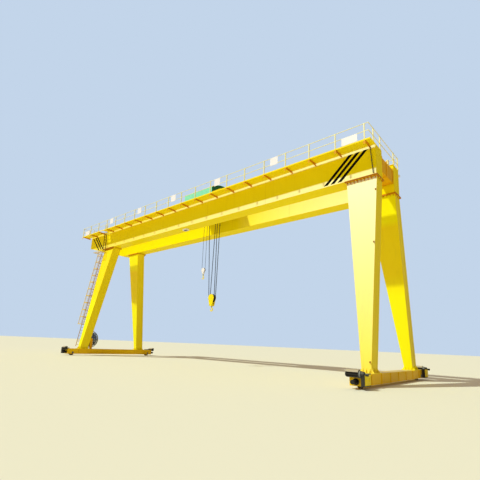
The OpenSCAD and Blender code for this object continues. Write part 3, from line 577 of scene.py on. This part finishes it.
bolts = bmesh.new()
for leg, (towardX, towardY) in legs.items():
    low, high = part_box(leg)
    headX = headOf(towardX)
    under = high.z - legBolts["headPlate"]
    for outward in (-1, 1):
        headY = outward * legBolts["headOut" if outward == towardY else "headIn"]
        for i in range(legBolts["ribs"]):
            x = headX + towardX * (legBolts["ribFrom"] + legBolts["ribPitch"] * (i + 0.5))
            addBolt(bolts, (x, towardY * girderY + headY, under), (0, 0, -1), legBolts["size"])
        for i in (-2, -1, 1, 2):
            addBolt(bolts, (headX + outward * legBolts["headX"], towardY * girderY + i * legBolts["endStep"], under),
                    (0, 0, -1), legBolts["size"])
    footY = towardY * legBolts["footAt"]
    top = rightSill[1].z + legBolts["footPlate"]
    for outward in (-1, 1):
        for i in (-1.5, -0.5, 0.5, 1.5):
            addBolt(bolts, (sillX[towardX] + outward * legBolts["footX"], footY + i * legBolts["footStep"], top),
                    (0, 0, 1), legBolts["size"])
        for i in (-1, 1):
            addBolt(bolts, (sillX[towardX] + i * legBolts["footHalf"], footY + outward * legBolts["footY"], top),
                    (0, 0, 1), legBolts["size"])
makePiece("legFlangeBolts", bolts, yellowEnamel)
print("leg bolts set")


# Packing strips in the joints between the head plates, darkened by rust

packing = {"high": 0.026, "proud": 0.004, "lap": 0.01, "joint": 11.73, "halfX": 0.97, "outY": 0.60, "inY": 0.55}

strips = bmesh.new()
for towardX, towardY in legs.values():
    headX = headOf(towardX)
    yA, yB = sorted((towardY * (girderY - packing["inY"]), towardY * (girderY + packing["outY"])))
    xA, xB = headX - packing["halfX"], headX + packing["halfX"]
    zA, zB = packing["joint"] - packing["high"] / 2, packing["joint"] + packing["high"] / 2
    proud, lap = packing["proud"], packing["lap"]
    addBlock(strips, (xA - proud, yA - proud, zA), (xB + proud, yA + lap, zB))
    addBlock(strips, (xA - proud, yB - lap, zA), (xB + proud, yB + proud, zB))
    addBlock(strips, (xA - proud, yA + lap, zA), (xA + lap, yB - lap, zB))
    addBlock(strips, (xB - lap, yA + lap, zA), (xB + proud, yB - lap, zB))
makePiece("packingStrips", strips, rustedPacking)
print("packing strips set")


# Cable up the near web at the right end, its clips, and the small light on the far girder's end

conduit = {"x": 14.96, "slip": 0.13, "radius": 0.022, "low": 11.81, "high": 13.56, "webIn": 0.035, "collar": 1.1,
           "collarBar": 0.006}
conduitClip = {"count": 5, "first": 0.15, "pitch": 0.35, "plate": ((-0.045, -0.006, 0), (0.045, 0, 0.02)), "bar": 0.003}
endLight = {"x": 15.2, "z": 13.29, "arm": ((-0.02, -0.001, 0.05), (0.02, 0.09, 0.09)),
            "lamp": ((-0.07, 0.07, 0), (0.07, 0.19, 0.12)), "rimY": 0.13, "rim": 0.05, "rimBar": 0.006}

conduitMesh, clipMesh, lightMesh = bmesh.new(), bmesh.new(), bmesh.new()
webY = nearGirder[0].y + conduit["webIn"]
x = midX + conduit["x"]
pipeY = webY - conduit["radius"]
addPrism(conduitMesh, (x + conduit["slip"], pipeY, conduit["low"]), (x, pipeY, conduit["high"]), conduit["radius"], 16)
addRing(conduitMesh, (x, pipeY, conduit["high"]), (0, 0, 1), conduit["radius"] * conduit["collar"],
        conduit["collarBar"], 16, 6)
for i in range(conduitClip["count"]):
    z = conduit["low"] + conduitClip["first"] + i * conduitClip["pitch"]
    clipX = x + conduit["slip"] * (conduit["high"] - z) / (conduit["high"] - conduit["low"])
    addBlock(clipMesh, *conduitClip["plate"], (clipX, webY, z))
    addRing(clipMesh, (clipX, pipeY, z + conduitClip["plate"][1][2] / 2), (0, 0, 1),
            conduit["radius"] + conduitClip["bar"], conduitClip["bar"], 16, 4)
x, z = midX + endLight["x"], endLight["z"]
for part in ("arm", "lamp"):
    addBlock(lightMesh, *endLight[part], (x, -webY, z))
addRing(lightMesh, (x, -webY + endLight["rimY"], z), (0, 0, -1), endLight["rim"], endLight["rimBar"], 24, 6)
makePiece("webConduit", conduitMesh, blackEnamel)
makePiece("conduitClips", clipMesh, zincSteel)
makePiece("endLight", lightMesh, whiteEnamel)
print("conduit and end light set")


# Rest platform: an angle frame with an open mesh of 8 mm bars, 80 mm apart

platform = {"bar": 0.004, "pitch": 0.08, "first": 0.02, "deep": 0.008, "lowDeep": 0.010, "lowTop": 0.002, "edge": 0.006,
            "holeX": 0.77, "holeLow": 0.71, "holeHigh": 0.09, "rim": 0.04}

grating = bmesh.new()
(lowX, lowY, lowZ), (highX, highY, highZ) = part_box("rest_platform")
legFace = midX - legShape["endX"]
legSide = nearLegFace(lowZ)
holeX, holeLow, holeHigh = lowX + platform["holeX"], highY - platform["holeLow"], highY - platform["holeHigh"]
fields = [((lowX, lowY), (highX, holeLow)), ((lowX, holeLow), (lowX + platform["rim"], holeHigh)),
          ((holeX, holeLow), (legFace, holeHigh)), ((lowX, holeHigh), (legFace, highY)),
          ((legFace, holeLow), (highX, legSide))]
for (x0, y0), (x1, y1) in fields:
    for i in range(int((highX - lowX) / platform["pitch"]) + 1):
        x = lowX + platform["first"] + i * platform["pitch"]
        if x0 < x < x1:
            addBlock(grating, (x - platform["bar"], y0, highZ - platform["lowDeep"]),
                     (x + platform["bar"], y1, highZ - platform["lowTop"]))
    for i in range(int((highY - lowY) / platform["pitch"]) + 1):
        y = lowY + platform["first"] + i * platform["pitch"]
        if y0 < y < y1:
            addBlock(grating, (x0, y - platform["bar"], highZ - platform["deep"]), (x1, y + platform["bar"], highZ))
outline = [(lowX, lowY), (highX, lowY), (highX, legSide), (legFace, legSide), (legFace, highY), (lowX, highY)]
for (x0, y0), (x1, y1) in zip(outline, outline[1:] + outline[:1]):
    side = platform["edge"]
    addBlock(grating, (max(min(x0, x1) - side, lowX), max(min(y0, y1) - side, lowY), lowZ),
             (min(max(x0, x1) + side, highX), min(max(y0, y1) + side, highY), highZ))
piece = makePiece("platformGrating", grating, bleachedEnamel)
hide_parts("rest_platform")
print("platform grating laid")


# Lugs for a cable on the near right leg's sunny face

lugs = {"heights": (10.8, 7.55, 1.2), "fromEdge": 0.045, "plate": ((-0.03, -0.016, -0.045), (0.03, 0.02, 0.045)),
        "proud": 0.016, "stem": 0.04, "stemRadius": 0.014, "eyeOut": 0.054, "eye": 0.020, "eyeBar": 0.006}

lugMesh = bmesh.new()
x = midX + legShape["endX"] - lugs["fromEdge"]
for z in lugs["heights"]:
    y = nearLegFace(z)
    addBlock(lugMesh, *lugs["plate"], (x, y, z))
    addPrism(lugMesh, (x, y - lugs["proud"], z), (x, y - lugs["stem"], z), lugs["stemRadius"], 12)
    addRing(lugMesh, (x, y - lugs["eyeOut"], z), (0, 0, 1), lugs["eye"], lugs["eyeBar"], 16, 6)
makePiece("legLugs", lugMesh, rustedPacking)
print("leg lugs set")


# Clips that hold the trolley rails down, one pair every 750 mm: a pressed plate and an M20 bolt

railClips = {"pitch": 0.75, "size": 0.036, "reach": 0.085, "first": 0.2, "spare": 0.3, "railY": 1.28,
             "plate": ((-0.035, -0.035, 0), (0.035, 0.035, 0.024)), "boltOut": 0.008}

clips = bmesh.new()
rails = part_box("trolley_rails")
base = nearGirder[1].z
for i in range(int((rails[1].x - rails[0].x - railClips["spare"]) / railClips["pitch"]) + 1):
    x = rails[0].x + railClips["first"] + i * railClips["pitch"]
    for railY in (-railClips["railY"], railClips["railY"]):
        for outward in (-1, 1):
            y = railY + outward * railClips["reach"]
            top = base + railClips["plate"][1][2]
            addBlock(clips, *railClips["plate"], (x, y, base))
            addBolt(clips, (x, y + outward * railClips["boltOut"], top), (0, 0, 1), railClips["size"])
makePiece("railClips", clips, rolledSteel)
print("rail clips set")


# Foot plates of the walkway's posts, with two M12 bolts each

postFeet = {"plate": ((-0.058, -3.056, 0), (0.058, -2.945, 0.010)), "size": 0.022, "boltX": 0.044, "boltY": -2.972}

feet = bmesh.new()
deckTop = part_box("near_walkway")[1].z
footTop = deckTop + postFeet["plate"][1][2]
for i in range(posts["count"]):
    x = postAt(i)
    addBlock(feet, *postFeet["plate"], (x, 0, deckTop))
    for side in (-1, 1):
        addBolt(feet, (x + side * postFeet["boltX"], postFeet["boltY"], footTop), (0, 0, 1), postFeet["size"])
makePiece("postFeet", feet, creamEnamel)
print("post feet set")


# Cleats that hang from the brackets' outer ends, behind the deck's edge

cleat = ((-0.06, -3.069, 13.29), (0.06, -3.059, 13.50))

cleatMesh = bmesh.new()
for i in range(posts["count"]):
    addBlock(cleatMesh, *cleat, (postAt(i), 0, 0))
makePiece("bracketCleats", cleatMesh, amberShadeEnamel)
print("bracket cleats set")


# Travel drives: cooling fins round the motors, terminal boxes, rain hoods, grey reducers, and covers on the gear cases

drive = {"y": 5.265, "z": 0.68, "fins": 26, "finFrom": -0.33, "finRadius": 0.168, "finThick": 0.005, "finPitch": 0.021,
         "fanFrom": -0.385, "fanTo": -0.335, "fan": 0.124, "flangeFrom": 0.214, "flangeTo": 0.270, "flange": 0.172,
         "boxAt": -0.06, "box": ((-0.075, -0.06, 0.10), (0.075, 0.06, 0.185))}
hood = {"from": -0.37, "to": 0.25, "radius": 0.205, "thick": 0.004, "low": 0.16, "steps": 16, "stays": (-0.30, 0.15),
        "stayHalf": 0.015, "stayIn": 0.115, "stayThick": 0.005, "stayUp": 0.004, "stayShort": 0.002}
reducer = {"discTo": 0.33, "disc": 0.165, "bodyTo": 0.47, "body": 0.136, "capTo": 0.50, "cap": 0.100,
           "boltCircle": 0.115, "size": 0.020}
gearCase = {"from": 0.515, "to": 0.527, "yLow": 4.66, "yHigh": 5.33, "zLow": 0.20, "zHigh": 0.68, "bolts": 7,
            "boltFrom": 4.685, "boltPitch": 0.103, "boltZ": (0.215, 0.665), "size": 0.024, "plugZ": 0.44,
            "plugs": ((4.80, 0.545, 0.085), (5.18, 0.541, 0.065))}


def addHood(mesh, x0, x1, y, z):
    # a sheet bent round the motor's upper side
    rings = []
    for x in (x0, x1):
        for radius in (hood["radius"], hood["radius"] - hood["thick"]):
            angles = [math.pi * (hood["low"] + (1 - 2 * hood["low"]) * i / hood["steps"])
                      for i in range(hood["steps"] + 1)]
            rings.append([mesh.verts.new((x, y + radius * math.cos(a), z + radius * math.sin(a))) for a in angles])
    for first, second in ((0, 2), (1, 3), (0, 1), (2, 3)):
        for i in range(hood["steps"]):
            mesh.faces.new((rings[first][i], rings[first][i + 1], rings[second][i + 1], rings[second][i]))
    for i in (0, hood["steps"]):
        mesh.faces.new((rings[0][i], rings[1][i], rings[3][i], rings[2][i]))


fins, reducers, cases, hoods = bmesh.new(), bmesh.new(), bmesh.new(), bmesh.new()
for towardX in (-1, 1):
    for towardY in (-1, 1):
        y, z = towardY * drive["y"], drive["z"]

        def at(offset):
            return sillX[towardX] + towardX * offset
        for i in range(drive["fins"]):
            x = at(drive["finFrom"] + i * drive["finPitch"])
            addPrism(fins, (x - drive["finThick"] / 2, y, z), (x + drive["finThick"] / 2, y, z), drive["finRadius"], 4,
                     None, math.pi / 4)
        addPrism(fins, (at(drive["fanFrom"]), y, z), (at(drive["fanTo"]), y, z), drive["fan"], 24)
        addPrism(fins, (at(drive["flangeFrom"]), y, z), (at(drive["flangeTo"]), y, z), drive["flange"], 4, None,
                 math.pi / 4)
        addBlock(fins, *drive["box"], (at(drive["boxAt"]), y, z))
        addHood(hoods, at(hood["from"]), at(hood["to"]), y, z)
        edgeY = hood["radius"] * math.cos(math.pi * hood["low"]) - hood["stayShort"]
        edgeZ = z + hood["radius"] * math.sin(math.pi * hood["low"]) + hood["stayUp"]
        for offset in hood["stays"]:
            for side in (-1, 1):
                yA, yB = sorted((y + side * hood["stayIn"], y + side * edgeY))
                addBlock(hoods, (at(offset) - hood["stayHalf"], yA, edgeZ),
                         (at(offset) + hood["stayHalf"], yB, edgeZ + hood["stayThick"]))
        addPrism(reducers, (at(drive["flangeTo"]), y, z), (at(reducer["discTo"]), y, z), reducer["disc"], 32)
        addPrism(fins, (at(reducer["discTo"]), y, z), (at(reducer["bodyTo"]), y, z), reducer["body"], 24)
        addPrism(fins, (at(reducer["bodyTo"]), y, z), (at(reducer["capTo"]), y, z), reducer["cap"], 24)
        for i in range(6):
            angle = math.pi * (i + 0.5) / 3
            boltY, boltZ = reducer["boltCircle"] * math.cos(angle), reducer["boltCircle"] * math.sin(angle)
            addBolt(reducers, (at(reducer["bodyTo"]), y + boltY, z + boltZ), (towardX, 0, 0), reducer["size"])
        # gear case: a raised lid on its outer face, edge bolts, and the round covers of its bearings
        low = (at(gearCase["from"]), towardY * gearCase["yLow"], gearCase["zLow"])
        high = (at(gearCase["to"]), towardY * gearCase["yHigh"], gearCase["zHigh"])
        addBlock(cases, [min(a, b) for a, b in zip(low, high)], [max(a, b) for a, b in zip(low, high)])
        for i in range(gearCase["bolts"]):
            for edge in gearCase["boltZ"]:
                boltY = towardY * (gearCase["boltFrom"] + i * gearCase["boltPitch"])
                addBolt(cases, (at(gearCase["to"]), boltY, edge), (towardX, 0, 0), gearCase["size"])
        for plugY, plugTo, plugRadius in gearCase["plugs"]:
            addPrism(cases, (at(gearCase["to"]), towardY * plugY, gearCase["plugZ"]),
                     (at(plugTo), towardY * plugY, gearCase["plugZ"]), plugRadius, 24)
makePiece("motorFins", fins, blackEnamel)
makePiece("motorHoods", hoods, dustySheet)
makePiece("motorReducers", reducers, greyEnamel)
makePiece("gearCaseCovers", cases, yellowEnamel)
print("drives dressed")


# Axle caps on both faces of the sills, with six M16 bolts each

axleCaps = {"radius": 0.095, "thick": 0.022, "boltCircle": 0.075, "size": 0.026, "out": 0.31, "y": 4.55, "z": 0.275}

caps = bmesh.new()
for towardX in (-1, 1):
    for towardY in (-1, 1):
        for face in (-1, 1):
            place = Vector((sillX[towardX] + face * axleCaps["out"], towardY * axleCaps["y"], axleCaps["z"]))
            outward = Vector((face, 0, 0))
            addPrism(caps, place, place + outward * axleCaps["thick"], axleCaps["radius"], 32)
            for i in range(6):
                angle = math.pi * i / 3
                spoke = Vector((0, math.cos(angle), math.sin(angle))) * axleCaps["boltCircle"]
                addBolt(caps, place + outward * axleCaps["thick"] + spoke, outward, axleCaps["size"])
makePiece("axleCaps", caps, greyEnamel)
print("axle caps set")


# Floodlight under the near girder: a pale frame round dark glass

lampFrame = {"bar": 0.05, "deep": 0.03, "glass": 0.008}

frameMesh, glassMesh = bmesh.new(), bmesh.new()
(x0, y0, z0), (x1, y1, z1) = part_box("girder_lamp")
bar, deep = lampFrame["bar"], lampFrame["deep"]
addBlock(frameMesh, (x0, y0, z0 - deep), (x1, y0 + bar, z0))
addBlock(frameMesh, (x0, y1 - bar, z0 - deep), (x1, y1, z0))
addBlock(frameMesh, (x0, y0 + bar, z0 - deep), (x0 + bar, y1 - bar, z0))
addBlock(frameMesh, (x1 - bar, y0 + bar, z0 - deep), (x1, y1 - bar, z0))
addBlock(glassMesh, (x0 + bar, y0 + bar, z0 - lampFrame["glass"]), (x1 - bar, y1 - bar, z0))
makePiece("lampFrame", frameMesh, whiteEnamel)
makePiece("lampGlass", glassMesh, blackEnamel)
print("lamp set")


# Trolley cover: standing seams over the roof, and an end panel with pressed ribs in dark green, painted shade for the
# cover's shaded end

cover = {"eave": 14.97, "seams": 8, "end": 0.04, "high": 0.022, "wide": 0.020, "sunk": 0.01, "steps": 24}
endPanel = {"proud": 0.006, "sunk": 0.002, "up": 0.02, "under": 0.004, "ribs": 15, "side": 0.12, "rib": 0.018,
            "ribHalf": 0.03, "ribShort": 0.06}

coverLow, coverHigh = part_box("trolley_cover")
crown, halfY = coverHigh.z, coverHigh.y
rise = crown - cover["eave"]
archRadius = (halfY * halfY + rise * rise) / (2 * rise)


def roofHeight(y):
    return crown - archRadius + math.sqrt(archRadius * archRadius - y * y)


seams = bmesh.new()
for i in range(cover["seams"]):
    x = coverLow.x + cover["end"] + i * (coverHigh.x - coverLow.x - 2 * cover["end"]) / (cover["seams"] - 1)
    ring = []
    for k in range(cover["steps"] + 1):
        y = -halfY + 2 * halfY * k / cover["steps"]
        slope = Vector((0, y, roofHeight(y) - crown + archRadius)).normalized()
        foot = Vector((x, y, roofHeight(y)))
        top = foot + slope * cover["high"] * (0.0 if k in (0, cover["steps"]) else 1.0)
        top.z = min(top.z, crown)  # the seams are folded flat over the crown
        ring.append((foot - slope * cover["sunk"], top))
    rows = [[[seams.verts.new(p + Vector((s * cover["wide"] / 2, 0, 0))) for p in pair] for s in (-1, 1)]
            for pair in ring]
    for first, second in zip(rows, rows[1:]):
        seams.faces.new((first[0][1], second[0][1], second[1][1], first[1][1]))
        seams.faces.new((first[0][0], second[0][0], second[0][1], first[0][1]))
        seams.faces.new((first[1][0], first[1][1], second[1][1], second[1][0]))
        seams.faces.new((first[0][0], first[1][0], second[1][0], second[0][0]))
makePiece("coverSeams", seams, mintEnamel, "trolley")

panel = bmesh.new()
rims = []
for x in (coverHigh.x - endPanel["sunk"], coverHigh.x + endPanel["proud"]):
    outline = [panel.verts.new((x, y, coverLow.z + endPanel["up"])) for y in (-halfY, halfY)]
    for k in range(cover["steps"] + 1):
        y = halfY - 2 * halfY * k / cover["steps"]
        outline.append(panel.verts.new((x, y, roofHeight(y) - endPanel["under"])))
    rims.append(outline)
panel.faces.new(list(reversed(rims[0])))
panel.faces.new(rims[1])
for i in range(len(rims[0])):
    j = (i + 1) % len(rims[0])
    panel.faces.new((rims[0][i], rims[0][j], rims[1][j], rims[1][i]))
for i in range(endPanel["ribs"]):
    y = -halfY + endPanel["side"] + i * (2 * halfY - 2 * endPanel["side"]) / (endPanel["ribs"] - 1)
    addBlock(panel, (coverHigh.x, y - endPanel["ribHalf"], coverLow.z + endPanel["ribShort"]),
             (coverHigh.x + endPanel["rib"], y + endPanel["ribHalf"], roofHeight(y) - endPanel["ribShort"]))
makePiece("coverEndPanel", panel, paintedShadeGreenEnamel, "trolley")
print("cover dressed")


# Boards: round-headed fixings at the corners

# each kind of board: at which posts its middles are, half its width, and its lower and upper edge
boardKinds = (((3.56, 6.47, 9.4, 12.43, 15.48), 0.31, 14.0, 14.59), ((0.58, 18.5), 0.48, 13.62, 14.10))
fixing = {"inset": 0.05, "backY": -3.0590, "frontY": -3.0645, "radius": 0.013, "frontRadius": 0.009}

boards = bmesh.new()
for centres, half, low, high in boardKinds:
    for centre in centres:
        for sideways in (-1, 1):
            for z in (low + fixing["inset"], high - fixing["inset"]):
                x = postAt(centre) + sideways * (half - fixing["inset"])
                addPrism(boards, (x, fixing["backY"], z), (x, fixing["frontY"], z), fixing["radius"], 12,
                         fixing["frontRadius"])
makePiece("boardFixings", boards, zincSteel)
print("board fixings set")


# Cable reel: pale rims and the black cable wound in flat turns between them

reel = {"y": -2.37, "z": 1.66, "turns": 16, "first": 0.26, "pitch": 0.034, "cable": 0.015, "rimAt": 0.05, "rim": 0.885,
        "rimBar": 0.014}
reelLow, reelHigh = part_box("cable_reel")
reelX = (reelLow.x + reelHigh.x) / 2

wound, rims = bmesh.new(), bmesh.new()
for i in range(reel["turns"]):
    addRing(wound, (reelX, reel["y"], reel["z"]), (1, 0, 0), reel["first"] + i * reel["pitch"], reel["cable"], 48, 6)
for side in (-1, 1):
    addRing(rims, (reelX + side * reel["rimAt"], reel["y"], reel["z"]), (1, 0, 0), reel["rim"], reel["rimBar"], 64, 8)
makePiece("woundCable", wound, buttonRubber, smooth=True)
makePiece("reelRims", rims, creamEnamel, smooth=True)
print("reel wound")


# Ropes: each fall is straight from the trolley to its block; the main falls
# are pairs. The main sheaves' axle is at z = 5.6, the auxiliary sheave's at 8.18

falls = {"radius": 0.014, "sides": 12, "top": 14.87, "apart": 0.024, "mainX": 0.32, "auxX": -0.96, "auxSide": 0.2}
# each pair of main falls: where it leaves the trolley and meets the block, from the block's X and from Y = 0
fallEnds = (("Winding", (-0.47, 0.50), (-0.32, 0.08)), ("Upper", (0.35, 0.20), (0.32, 0.08)))
mainX, auxX = midX + falls["mainX"], midX + falls["auxX"]

ropes = []
for side in (-1, 1):
    for name, top, foot in fallEnds:
        rope = bmesh.new()
        for beside in (-falls["apart"], falls["apart"]):
            addPrism(rope, (mainX + top[0], side * top[1] + beside, falls["top"]),
                     (mainX + foot[0], side * foot[1] + beside, 5.6), falls["radius"], falls["sides"])
        piece = makePiece("mainRope" + name + ("Near" if side < 0 else "Far"), rope, greasedRope, None,
                          True)
        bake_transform(piece)
        ropes.append(piece)
for piece in ropes:
    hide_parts("main_ropes")
for side in (-1, 1):
    rope = bmesh.new()
    x = auxX + side * falls["auxSide"]
    addPrism(rope, (x, 0, falls["top"]), (x, 0, 8.18), falls["radius"], falls["sides"])
    piece = makePiece("auxRope" + ("Left" if side < 0 else "Right"), rope, greasedRope, None, True)
    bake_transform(piece)
    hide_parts("aux_ropes")
print("ropes drawn")


# Hook blocks: side bolts, a swivel nut over each cross head, and a safety latch across each throat

blockBolts = {"y": 0.152, "circle": 0.28, "size": 0.030, "low": ((-0.12, -0.58), (0.12, -0.58), (-0.12, -0.66),
                                                                (0.12, -0.66)),
              "auxY": 0.06, "auxCircle": 0.17, "auxSize": 0.022}
# each hook: its body, X, the middle of its bowl, the bowl's radius, the bar's radius and the swivel nut's height
hookShapes = (("main", "main_hook_swivel", mainX, 4.6, 0.12, 0.045, 4.83),
              ("aux", "aux_hook_swivel", auxX, 7.48, 0.105, 0.036, 7.72))
latchShape = {"tipAngle": 5, "tipUp": 0.005, "rootX": 0.01, "rod": 0.22, "reach": 0.9, "pin": 0.3, "nut": 1.6,
              "nutHigh": 0.05}

blocks, auxFittings = bmesh.new(), bmesh.new()
for side in (-1, 1):
    y, out = side * blockBolts["y"], (0, side, 0)
    for i in range(8):
        angle, circle = math.pi * (i + 0.5) / 4, blockBolts["circle"]
        addBolt(blocks, (mainX + circle * math.cos(angle), y, 5.6 + circle * math.sin(angle)), out, blockBolts["size"])
    for x, z in blockBolts["low"]:
        addBolt(blocks, (mainX + x, y, 5.6 + z), out, blockBolts["size"])
    for i in range(6):
        angle, circle = math.pi * (i + 0.5) / 3, blockBolts["auxCircle"]
        addBolt(auxFittings, (auxX + circle * math.cos(angle), side * blockBolts["auxY"],
                              8.18 + circle * math.sin(angle)), out, blockBolts["auxSize"])
makePiece("mainBlockBolts", blocks, darkBolt, "main_block")
makePiece("auxBlockBolts", auxFittings, darkBolt, "aux_block")
for name, body, x, centreZ, ring, bar, nutZ in hookShapes:
    latch = bmesh.new()
    lift = math.radians(latchShape["tipAngle"])
    tip = Vector((x - ring * math.cos(lift), 0, centreZ + ring * math.sin(lift)))
    root = Vector((x - latchShape["rootX"], 0, centreZ + ring + bar * latchShape["reach"]))
    sideways = Vector((0, bar * latchShape["reach"], 0))
    addPrism(latch, tip + Vector((0, 0, latchShape["tipUp"])), root, bar * latchShape["rod"], 12)
    addPrism(latch, root - sideways, root + sideways, bar * latchShape["pin"], 16)
    addPrism(latch, (x, 0, nutZ), (x, 0, nutZ + latchShape["nutHigh"]), bar * latchShape["nut"], 6)
    makePiece(name + "HookLatch", latch, zincSteel, body)
print("hook blocks dressed")

low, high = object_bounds()
